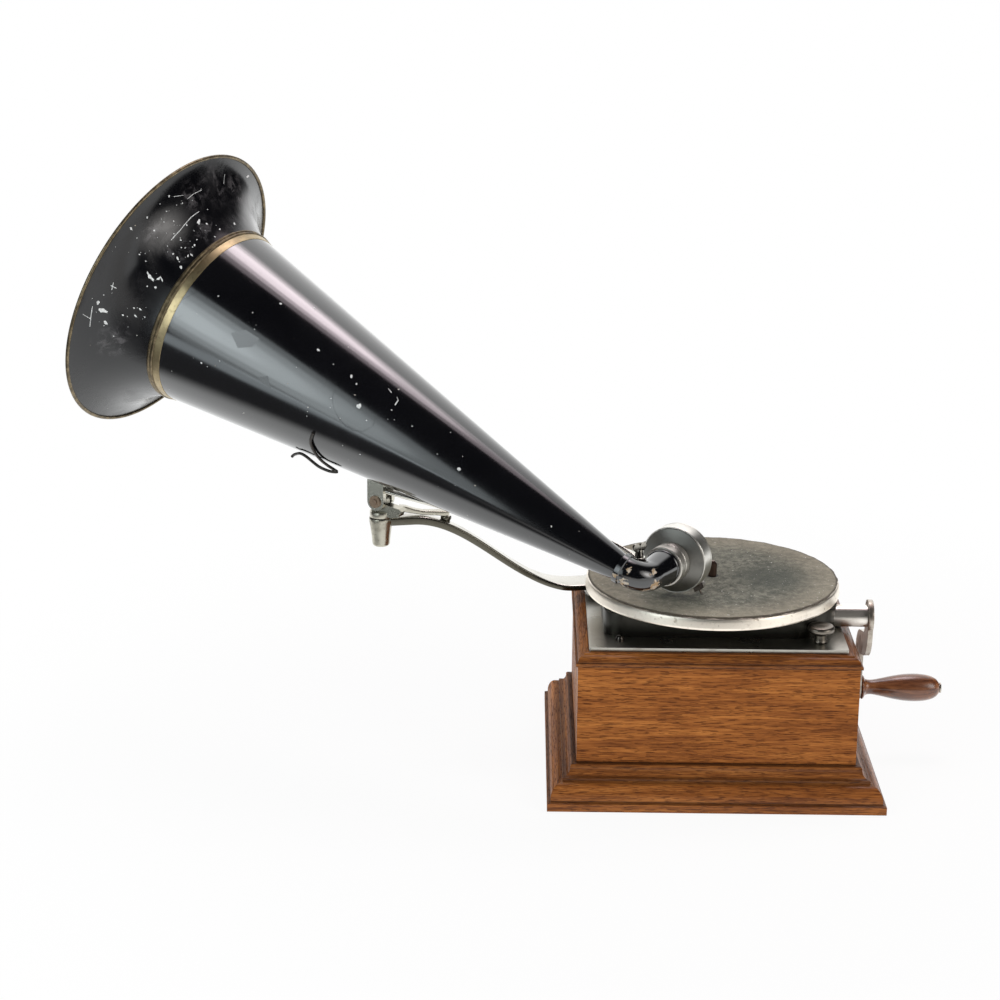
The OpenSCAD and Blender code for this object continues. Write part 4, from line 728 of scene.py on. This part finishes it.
def japan(name, under, worn_spots=(), gloss=1.8, dull=0.0, scuffs=()):
    """Black lacquer with smears and fine scratches. Worn spots are chipped down to what is under it, and
    scuffs are dusty; both are (point, reach)."""
    material, shader, place = finish(name, {"IOR": gloss})
    smears = place.noise(22.0, 6.0, 0.62, 0.6)
    haze = place.noise(7.0, 3.0)
    hairs = place.stretch((260.0, 900.0, 420.0)).noise(1.0, 2.0, 0.5, 1.2).between(0.70, 0.76)
    flaking = place.noise(170.0, 4.0, 0.6) * 0.6 + place.noise(430.0, 3.0) * 0.4
    bare = place.noise(330.0, 1.0).between(0.80, 0.82)
    for point, reach in worn_spots:
        away = place.away_from(point)
        chips = (flaking + 0.22 * (1.0 - away.between(0.0, reach))).between(0.60, 0.615)
        bare = bare.maths("MAXIMUM", bare, chips * (1.0 - away.between(reach * 0.8, reach * 1.3)))
    lacquer = (smears * haze).blend((0.0012, 0.0013, 0.0020), (0.0065, 0.0066, 0.0085))
    clouds = dull * place.noise(17.0, 5.0, 0.62, 0.5).between(0.40, 0.66)
    lacquer = (clouds * 7.0).blend(lacquer, (0.0100, 0.0092, 0.0105))
    rub = place.noise(90.0, 6.0, 0.7, 0.8).between(0.46, 0.66)
    dusty = None
    for point, reach in scuffs:
        scuff = rub * (1.0 - place.away_from(point).between(reach * 0.2, reach))
        dusty = scuff if dusty is None else dusty.maths("MAXIMUM", dusty, scuff)
    if dusty:
        lacquer = dusty.blend(lacquer, (0.075, 0.071, 0.074))
    primer = place.noise(260.0, 3.0).between(0.42, 0.58).blend(under, (0.46, 0.40, 0.32))
    feed(shader, "Base Color", bare.blend(lacquer, primer))
    feed(shader, "Roughness", 0.06 + dull * 0.3 + clouds * 3.4 + smears * 0.12 + hairs * 0.06 + bare * 0.4)
    dent(shader, smears * 0.15 + clouds * 14.0 - bare - hairs * 0.08, 0.00010)
    return material


def round_section(radius, count):
    """Section of a round bar, as (across, over) points."""
    angles = [2.0 * math.pi * k / count for k in range(count)]
    return [(radius * math.cos(a), radius * math.sin(a)) for a in angles]


elbow_chips = [((-0.0767, -0.1106, 0.1857), 0.0065), ((-0.0518, -0.1070, 0.1826), 0.0060),
               ((-0.0530, -0.1060, 0.1934), 0.0050), ((-0.0833, -0.1083, 0.1909), 0.0040),
               ((-0.0717, -0.1112, 0.1967), 0.0040), ((-0.0594, -0.1085, 0.1792), 0.0035)]
elbow_japan = japan("elbow_japan", (0.30, 0.19, 0.085), elbow_chips)
tube_r = 0.0114
collar_l = 0.019
bead_w = 0.0028
bead_at = elbow_reach - collar_l - bead_w - bend_tangent
horn_end = ((0.0049, 0.0122), (0.0046, 0.0125), (0.0006, 0.0125), (0.0003, 0.0119), (0.0, tube_r))
box_end = ((0.004, 0.0117), (bead_at * 0.5, 0.0124), (bead_at - 0.0006, 0.0134), (bead_at, 0.0140),
           (bead_at + 0.0006, 0.0142), (bead_at + 0.0018, 0.0142), (bead_at + 0.0024, 0.0136),
           (bead_at + bead_w, 0.0116), (bead_at + 0.016, 0.0116))
elbow_run = [(bend_start + horn_dir * step, r) for step, r in horn_end]
for i in range(1, bend_steps + 1):
    a = bend_angle * i / bend_steps
    bend_point = bend_centre - bend_in * bend_r * math.cos(a) - horn_dir * bend_r * math.sin(a)
    elbow_run.append((bend_point, tube_r))
elbow_run += [(bend_end + box_dir * step, r) for step, r in box_end]
elbow_path = [point for point, r in elbow_run]
elbow_sections = [round_section(r, 72) for point, r in elbow_run]
piece("elbow_tube", drawn(elbow_path, bend_up, elbow_sections), "horn", elbow_japan,
      "elbow", slot="elbow_japan")
eye_out = 0.008
eye_rise = 0.008
eye_pos = bend_centre + box_dir * eye_out
eye_pos.z = box_pos.z + eye_rise
boss_outline = [(axis_r, -0.012), (0.0052, -0.012), (0.0052, -0.0012), (0.0046, 0.0), (axis_r, 0.0)]
piece("elbow_boss", turned(eased(boss_outline, 0.0006), frame_at(eye_pos), 48), "horn", elbow_japan,
      "elbow", slot="elbow_japan")


# Travelling bar: a flat nickelled strip that runs under the horn from the carrier to the elbow.
# It twists as it goes and ends in an eye, where a small wing screw clamps it down.
bar_nickel = nickel("bar_nickel", (0.56, 0.54, 0.49), 0.10, 0.26, 0.25)
strip_half = 0.00125
strip_wide = 0.006
strip_narrow = 0.004
strip_steps = 60
# The strip follows a curve of four guides: its root on the carrier, two beside the horn, and the eye.
guides = [pivot - horn_flat * 0.005 + up * 0.0086, horn_frame @ Vector((0.022, -0.034, 0.072)),
          horn_frame @ Vector((-0.002, -0.032, 0.028)), eye_pos + up * strip_half]
strip_rings = []
for i in range(strip_steps + 1):
    t = i / strip_steps
    weights = ((1 - t) ** 3, 3 * t * (1 - t) ** 2, 3 * t * t * (1 - t), t ** 3)
    centre = sum((guide * weight for guide, weight in zip(guides, weights)), Vector())
    twist = -math.pi * t
    thick = horn_down * math.cos(twist) + horn_near * math.sin(twist)
    wide = horn_near * math.cos(twist) - horn_down * math.sin(twist)
    strip_section = flat_section(strip_wide + (strip_narrow - strip_wide) * t, strip_half, 0.0006, 4)
    strip_rings.append([centre + wide * u + thick * v for u, v in strip_section])
piece("bar_strip", skin(strip_rings, False), "horn", bar_nickel, "travelling_bar", slot="nickel")
eye_bore = 0.00165
eye_r = 0.0050
eye_outline = [(eye_bore, 0.0), (eye_r, 0.0), (eye_r, 2 * strip_half), (eye_bore, 2 * strip_half)]
piece("bar_eye", turned(eased(eye_outline, 0.0005), frame_at(eye_pos), 48), "horn", bar_nickel,
      "travelling_bar", slot="nickel")
wing_nickel = nickel("wing_nickel", (0.28, 0.265, 0.235), 0.08, 0.22, 0.6, (0.05, 0.04, 0.03))
dress(wing_nickel, "wing_screw")
ease_edges(0.0003, "wing_screw")


# Sound box: a turned, plated shell on a collar that slips over the elbow, with a mica disc in rubber rings.
# The stylus bar crosses the front ring and carries the needle, which a small screw holds.
box_frame = frame_at(box_pos, box_right, (0, 0, -1), box_dir)
box_grey = turned_metal("box_grey", (0.20, 0.195, 0.18), 0.38, 0.52, 0.00003)
box_bright = turned_metal("box_bright", (0.66, 0.645, 0.60), 0.30, 0.42, 0.00001)
collar_metal = turned_metal("collar_metal", (0.50, 0.48, 0.44), 0.36, 0.50, 0.00003)
shell_outline = [(0.0127, -0.0034), (0.0254, -0.0003), (0.0258, 0.0003), (0.0258, 0.0040), (0.0250, 0.0060),
                 (0.0206, 0.0060), (0.0206, 0.0026), (0.0127, -0.0008)]
piece("box_back", turned(eased(shell_outline, 0.0005), box_frame, 144), "sound_box", box_grey,
      "sound_box_shell", slot="nickel")
band_outline = [(0.0251, 0.0004), (0.0262, 0.0002), (0.0266, 0.0008), (0.0266, 0.0116), (0.0262, 0.0120),
                (0.0251, 0.0120)]
piece("box_band", turned(eased(band_outline, 0.0003), box_frame, 144), "sound_box", box_bright,
      "sound_box_shell", slot="nickel")
collar_outline = [(0.01166, -collar_l), (0.0152, -collar_l), (0.0158, -0.0184), (0.0158, -0.0112),
                  (0.0153, -0.0108), (0.0153, -0.0102), (0.0157, -0.0098), (0.0157, -0.0040),
                  (0.0150, -0.0034), (0.0127, -0.0034), (0.0127, 0.0), (0.01166, 0.0)]
piece("box_collar", turned(eased(collar_outline, 0.0003), box_frame, 112), "sound_box", collar_metal,
      "sound_box_collar", slot="nickel")
dress(box_bright, "front_ring")
dress(collar_metal, "needle_screw")
ease_edges(0.0003, "needle_screw", "stylus_bar")
dark_steel = nickel("dark_steel", (0.20, 0.17, 0.15), 0.22, 0.45, 0.6)
dress(dark_steel, "stylus_bar", "needle")
gasket, shader, place = finish("gasket_rubber", {"Roughness": 0.8})
feed(shader, "Base Color", place.noise(300.0).blend((0.42, 0.32, 0.24), (0.55, 0.45, 0.35)))
dress(gasket, "gaskets")
mica, shader, place = finish("mica", {"Roughness": 0.12, "Transmission Weight": 0.6, "IOR": 1.58})
feed(shader, "Base Color", place.noise(120.0, 4.0).blend((0.80, 0.72, 0.58), (0.92, 0.88, 0.80)))
dress(mica, "diaphragm")


# Horn: a cone and a bell of thin sheet, japanned black inside and out.
# A gilt band and a brass bead cover their joint, and the bell's edge is rolled over a brass wire.
tin_grey = (0.62, 0.62, 0.58)
horn_japan = japan("horn_japan", tin_grey)
bell_scuffs = [((-0.4034, 0.0863, 0.4506), 0.022), ((-0.3884, 0.1146, 0.4418), 0.020),
               ((-0.4173, 0.0633, 0.4457), 0.016), ((-0.3821, 0.1051, 0.4231), 0.014),
               ((-0.4062, 0.0570, 0.4197), 0.016), ((-0.4260, 0.0367, 0.4074), 0.014),
               ((-0.4466, 0.0301, 0.4228), 0.012), ((-0.4789, 0.0250, 0.3368), 0.020)]
bell_japan = japan("bell_japan", tin_grey, gloss=1.50, dull=0.06, scuffs=bell_scuffs)
throat_r = 0.0108
cone_r = 0.0756
cone_l = 0.407
band_from = 0.4044
sheet = 0.0009
cone_steps = 40


def cone_at(along):
    """The cone's outside radius at a distance from its throat."""
    return throat_r + (cone_r - throat_r) * along / band_from


cone_out = [(cone_at(along), along) for along in [band_from * i / cone_steps for i in range(cone_steps + 1)]]
cone_in = [(r - sheet, z) for r, z in reversed(cone_out)]
cone_outline = cone_out + [(cone_r, cone_l), (cone_r - sheet, cone_l)] + cone_in
piece("cone_sheet", turned(cone_outline, horn_frame, 192), "horn", horn_japan,
      "horn_cone", slot="horn_japan")

bell_l = 0.0457
bell_r = 0.1204
bell_steps = 36
bell_slope = math.radians(20.0)
bell_turn = 2.0 * (math.atan2(bell_r - cone_r, bell_l) - bell_slope)
bell_arc = math.hypot(bell_l, bell_r - cone_r) / 2.0 / math.sin(bell_turn / 2.0)


def bell_point(share, out):
    """A point of the bell's profile, a share of the way from its joint to its rim and so far out of it."""
    a = bell_slope + bell_turn * share
    return (cone_r + bell_arc * (math.cos(bell_slope) - math.cos(a)) + out * math.cos(a),
            cone_l + bell_arc * (math.sin(a) - math.sin(bell_slope)) - out * math.sin(a))


bell_out = [bell_point(i / bell_steps, 0.0) for i in range(bell_steps + 1)]
bell_in = [bell_point(i / bell_steps, -sheet) for i in range(bell_steps, -1, -1)]
piece("bell_sheet", turned(bell_out + bell_in, horn_frame, 224), "horn", bell_japan,
      "horn_bell", slot="horn_japan")

horn_brass, shader, place = finish("horn_brass", {"Metallic": 1.0})
age = place.noise(48.0, 5.0, 0.62)
spots = place.noise(380.0, 3.0).between(0.60, 0.70)
aged = age.between(0.42, 0.66) * 0.6 + spots * 0.35
feed(shader, "Base Color", aged.blend((0.40, 0.32, 0.185), (0.15, 0.118, 0.070)))
feed(shader, "Roughness", 0.30 + age * 0.22)
dent(shader, age * 0.5 - spots, 0.00008)
rim_brass, shader, place = finish("rim_brass", {"Metallic": 0.9})
rubs = place.noise(160.0, 5.0, 0.65)
feed(shader, "Base Color", rubs.between(0.40, 0.70).blend((0.105, 0.082, 0.050), (0.255, 0.200, 0.120)))
feed(shader, "Roughness", 0.30 + rubs * 0.25)
dent(shader, rubs, 0.0002)
gilt_from = 0.3972
bead_from = 0.4034
gilt_outline = [(cone_at(gilt_from) - 0.0002, gilt_from), (cone_at(gilt_from) + 0.0003, gilt_from),
                (cone_at(bead_from) + 0.0004, bead_from), (cone_at(bead_from) - 0.0002, bead_from)]
piece("gilt_band", turned(eased(gilt_outline, 0.0002), horn_frame, 192), "horn", horn_brass,
      "horn_cone", slot="brass")
bead_r = 0.0770
groove_from = 0.4058
groove_to = 0.4064
bead_to = 0.4090
ridge = ((-0.0003, 0.0004), (0.0, 0.0012), (-0.0003, 0.0020))
bead_outline = ([(cone_r - 0.0003, bead_from), (cone_r + 0.0003, bead_from)]
                + [(bead_r + out, bead_from + step) for out, step in ridge]
                + [(cone_r + 0.0005, groove_from), (cone_r + 0.0005, groove_to)]
                + [(bead_r + out, groove_to + step) for out, step in ridge]
                + [(cone_r + 0.0008, bead_to), (cone_r - 0.0003, bead_to)])
piece("joint_bead", turned(eased(bead_outline, 0.0002), horn_frame, 192), "horn", rim_brass,
      "horn_bell", slot="brass")
rim_r, rim_z = bell_point(1.0, 0.0)
rim_wire_r = 0.0015
rolled_outline = [(rim_r + u, rim_z + v) for u, v in round_section(rim_wire_r, 16)]
piece("rolled_rim", turned(rolled_outline, horn_frame, 224), "horn", rim_brass, "horn_bell", slot="brass")


# Chips and scratches: where the lacquer has come off, the bare tin shows as small pale flakes and lines.
# Most are on the near side of the bell, which has been knocked and set down on its edge.
bare_tin, shader, place = finish("bare_tin", {"Metallic": 0.15})
grey = place.noise(420.0, 3.0)
feed(shader, "Base Color", grey.blend((0.42, 0.43, 0.42), (0.86, 0.87, 0.86)))
feed(shader, "Roughness", 0.55 + grey * 0.2)
faint_line, shader, place = finish("faint_line", {"Roughness": 0.19, "IOR": 1.7})
feed(shader, "Base Color", place.noise(300.0).blend((0.006, 0.006, 0.007), (0.022, 0.023, 0.025)))


def on_horn(angle, along, lift):
    """A point on the horn's outside. The angle is from its underside to the near side. Past the cone's end,
    along counts from 1.0 at the bell's start to 2.0 at its rim; on the cone it is in metres."""
    r, z = bell_point(along - 1.0, lift) if along >= 1.0 else (cone_at(along) + lift, along)
    a = math.radians(angle)
    return horn_frame @ Vector((r * math.cos(a), r * math.sin(a), z))


def flake(form, ring):
    """A thin closed flake over a ring of (angle, along) places, from just in the sheet to just over it."""
    over_sheet = 0.00014
    in_sheet = -0.0003
    points, faces, places = form
    first = len(points)
    count = len(ring)
    points += [on_horn(angle, along, lift) for lift in (over_sheet, in_sheet) for angle, along in ring]
    top = tuple(range(first, first + count))
    bottom = tuple(range(first + 2 * count - 1, first + count - 1, -1))
    sides = [(first + k, first + count + k, first + count + (k + 1) % count, first + (k + 1) % count)
             for k in range(count)]
    for face in [top, bottom] + sides:
        faces.append(face)
        places.append(((0.0, 0.0),) * len(face))


def step_on(angle, along, size, turn):
    """The place a short way off another one on the horn's skin; the turn is from the run of the horn."""
    r = bell_point(along - 1.0, 0.0)[0] if along >= 1.0 else cone_at(along)
    run = bell_arc * bell_turn if along >= 1.0 else 1.0
    return angle + math.degrees(size * math.sin(turn) / r), along + size * math.cos(turn) / run


def chip(form, angle, along, size, long, turn):
    """An irregular flake of the given size; long stretches it along its turn."""
    corners = 9
    ring = []
    for k in range(corners):
        a = 2.0 * math.pi * k / corners
        r = size / 2 * chance.uniform(0.6, 1.15)
        x, y = r * long * math.cos(a), r * math.sin(a)
        ring.append(step_on(angle, along, math.hypot(x, y), math.atan2(y, x) + math.radians(turn)))
    flake(form, ring)


def scratch(form, width, *stops):
    """A line of short flakes of uneven width through (angle, along) stops."""
    for (a0, s0), (a1, s1) in zip(stops, stops[1:]):
        on_bell = s0 >= 1.0
        flake_turn = 1.2
        flakes_along = 40 if on_bell else 300
        degree_run = 0.02 if on_bell else 0.0012
        steps = max(2, int(abs(a1 - a0) / flake_turn), int(abs(s1 - s0) * flakes_along))
        across = math.atan2(s1 - s0, 0.00001 + (a1 - a0) * degree_run)
        for k in range(steps):
            start, end = [(a0 + (a1 - a0) * step / steps, s0 + (s1 - s0) * step / steps)
                          for step in (k + 0.02, k + 0.96)]
            half = width / 2 * chance.uniform(0.6, 1.1)
            flake(form, [step_on(*start, half, across), step_on(*start, half, across + math.pi),
                         step_on(*end, half, across + math.pi), step_on(*end, half, across)])


chance = random.Random(11)
millimetre = 0.001
pale_marks = ([], [], [])
# Each chip has its angle and its place along the horn, its size in millimetres, its stretch and its turn.
for angle, along, size, long, turn in (
        (97.2, 1.755, 2.6, 1.5, 80), (94.2, 1.66, 4.2, 1.9, 15), (88.2, 1.585, 3.4, 1.5, 40),
        (118.6, 1.33, 3.0, 1.3, 30), (115.1, 1.20, 2.0, 1.0, 0), (132.8, 1.09, 2.2, 1.3, 60),
        (135.6, 1.184, 2.0, 1.5, 40), (142.8, 1.09, 1.8, 1.8, 0), (148.5, 1.15, 1.6, 1.5, 60),
        (160.5, 1.34, 2.6, 1.8, 70), (94.2, 1.415, 1.5, 1.8, 20), (99.8, 1.324, 1.3, 1.5, 0),
        (100.5, 1.248, 1.3, 1.8, 20), (96.0, 1.272, 1.5, 2.0, 30), (97.3, 1.166, 1.0, 1.4, 0),
        (81.5, 1.457, 1.2, 1.0, 0), (124.8, 1.576, 1.2, 1.2, 0), (131.0, 1.86, 1.6, 2.4, 20),
        (-148.0, 1.88, 2.2, 2.6, 60), (184.0, 1.14, 1.8, 1.6, 40), (86.8, 0.3617, 1.2, 1.6, 20),
        (86.2, 0.3562, 0.8, 1.0, 0), (94.3, 0.348, 0.8, 1.0, 0), (152.7, 0.333, 1.8, 1.3, 0),
        (169.2, 0.313, 1.5, 1.0, 0), (139.6, 0.2846, 1.9, 1.5, 0), (137.5, 0.251, 1.9, 1.9, 40),
        (134.3, 0.244, 1.4, 1.4, 60), (118.6, 0.2322, 4.4, 1.1, 0), (110.5, 0.2215, 1.1, 1.0, 0),
        (132.4, 0.2095, 1.0, 1.2, 0), (130.2, 0.189, 0.9, 1.0, 0), (116.9, 0.1405, 2.6, 1.2, 0),
        (75.0, 0.2167, 0.9, 1.0, 0), (111.3, 0.2543, 0.8, 1.0, 0), (104.2, 0.2517, 0.9, 1.0, 0)):
    chip(pale_marks, angle, along, size * millimetre, long, turn)
for width, *stops in (
        (1.9, (119.9, 1.382), (118.6, 1.323), (117.9, 1.261), (119.4, 1.229), (121.6, 1.218),
         (120.2, 1.166)),
        (0.6, (140.6, 1.387), (148.5, 1.396), (158.0, 1.433), (164.1, 1.439)),
        (0.7, (106.2, 1.691), (106.0, 1.611)),
        (0.7, (107.9, 1.676), (104.4, 1.654)),
        (0.7, (95.1, 1.805), (89.3, 1.780), (85.5, 1.764)),
        (0.6, (89.3, 1.780), (91.2, 1.897)),
        (0.5, (153.0, 1.814), (155.3, 1.757), (160.3, 1.702)),
        (0.5, (161.4, 1.638), (165.7, 1.653), (171.7, 1.654)),
        (0.5, (190.5, 1.784), (188.7, 1.665)),
        (0.8, (148.8, 0.2225), (147.2, 0.2183)),
        (1.0, (146.7, 0.2131), (144.9, 0.2104), (138.4, 0.2098))):
    scratch(pale_marks, width * millimetre, *stops)
dot_least = 0.0004
dot_more = 0.0011
for dots, near, far, low, high in ((46, 132.0, 172.0, 1.08, 1.80), (22, 85.0, 130.0, 1.15, 1.90),
                                   (12, 85.0, 165.0, 0.12, 0.39)):
    for k in range(dots):
        chip(pale_marks, chance.uniform(near, far), chance.uniform(low, high),
             dot_more * chance.random() ** 3 + dot_least,
             chance.uniform(1.0, 2.0), chance.uniform(0.0, 180.0))
piece("horn_chips", pale_marks, "horn", bare_tin)
dark_marks = ([], [], [])
for width, *stops in (
        (1.7, (123.0, 0.2554), (116.0, 0.2548), (111.2, 0.2532), (104.5, 0.2485), (98.7, 0.2412),
         (95.8, 0.2345), (95.6, 0.2281), (98.9, 0.2204), (108.9, 0.2153), (119.3, 0.2164)),
        (0.6, (104.3, 0.3965), (106.0, 0.3935), (109.1, 0.3907)),
        (0.6, (117.1, 0.3966), (121.0, 0.3940), (126.5, 0.3903))):
    scratch(dark_marks, width * millimetre, *stops)
flake(dark_marks, [(108.7, 0.3388), (114.3, 0.3292), (122.1, 0.3272), (122.1, 0.3405), (115.1, 0.3495)])
flake(dark_marks, [(94.6, 0.3096), (94.4, 0.3014), (101.7, 0.3073), (97.6, 0.3137)])
piece("horn_marks", dark_marks, "horn", faint_line)


# Wire hook: a length of blackened iron wire, fixed to the cone's near side.
# It is bent back on itself under the horn, and its free end is loose.
wire_black, shader, place = finish("wire_black", {"Metallic": 0.6})
soot = place.noise(300.0, 3.0)
feed(shader, "Base Color", soot.blend((0.012, 0.011, 0.010), (0.060, 0.052, 0.045)))
feed(shader, "Roughness", 0.28 + soot * 0.25)
# Each stop of the wire has its angle round the cone, its lift off it and its share of the cone's length.
hook_stops = [(75.2, 0.0013, 0.633), (63.8, 0.0014, 0.636), (52.3, 0.0015, 0.629), (41.0, 0.0018, 0.620),
              (33.0, 0.0024, 0.610), (29.4, 0.0032, 0.598), (28.4, 0.0040, 0.589), (28.0, 0.0050, 0.594),
              (27.8, 0.0060, 0.606), (27.6, 0.0058, 0.627), (29.6, 0.0040, 0.644), (34.0, 0.0026, 0.656),
              (35.0, 0.0022, 0.667), (31.0, 0.0028, 0.678), (27.4, 0.0046, 0.687), (26.2, 0.0066, 0.690)]


def smooth_run(stops, steps):
    """Points of a smooth curve through the stops."""
    run = []
    padded = [stops[0] * 2 - stops[1]] + stops + [stops[-1] * 2 - stops[-2]]
    for a, b, c, d in zip(padded, padded[1:], padded[2:], padded[3:]):
        for k in range(steps):
            t = k / steps
            run.append(0.5 * (2 * b + (c - a) * t + (2 * a - 5 * b + 4 * c - d) * t * t
                              + (3 * b - a - 3 * c + d) * t ** 3))
    return run + [stops[-1]]


hook_r = 0.0012
hook_run = smooth_run([on_horn(angle, share * cone_l, lift) for angle, lift, share in hook_stops], 6)
hook_sections = [round_section(hook_r, 12)] * len(hook_run)
piece("hook_wire", drawn(hook_run, horn_near.cross(horn_dir), hook_sections), "horn", wire_black,
      "horn_hook", slot="steel")
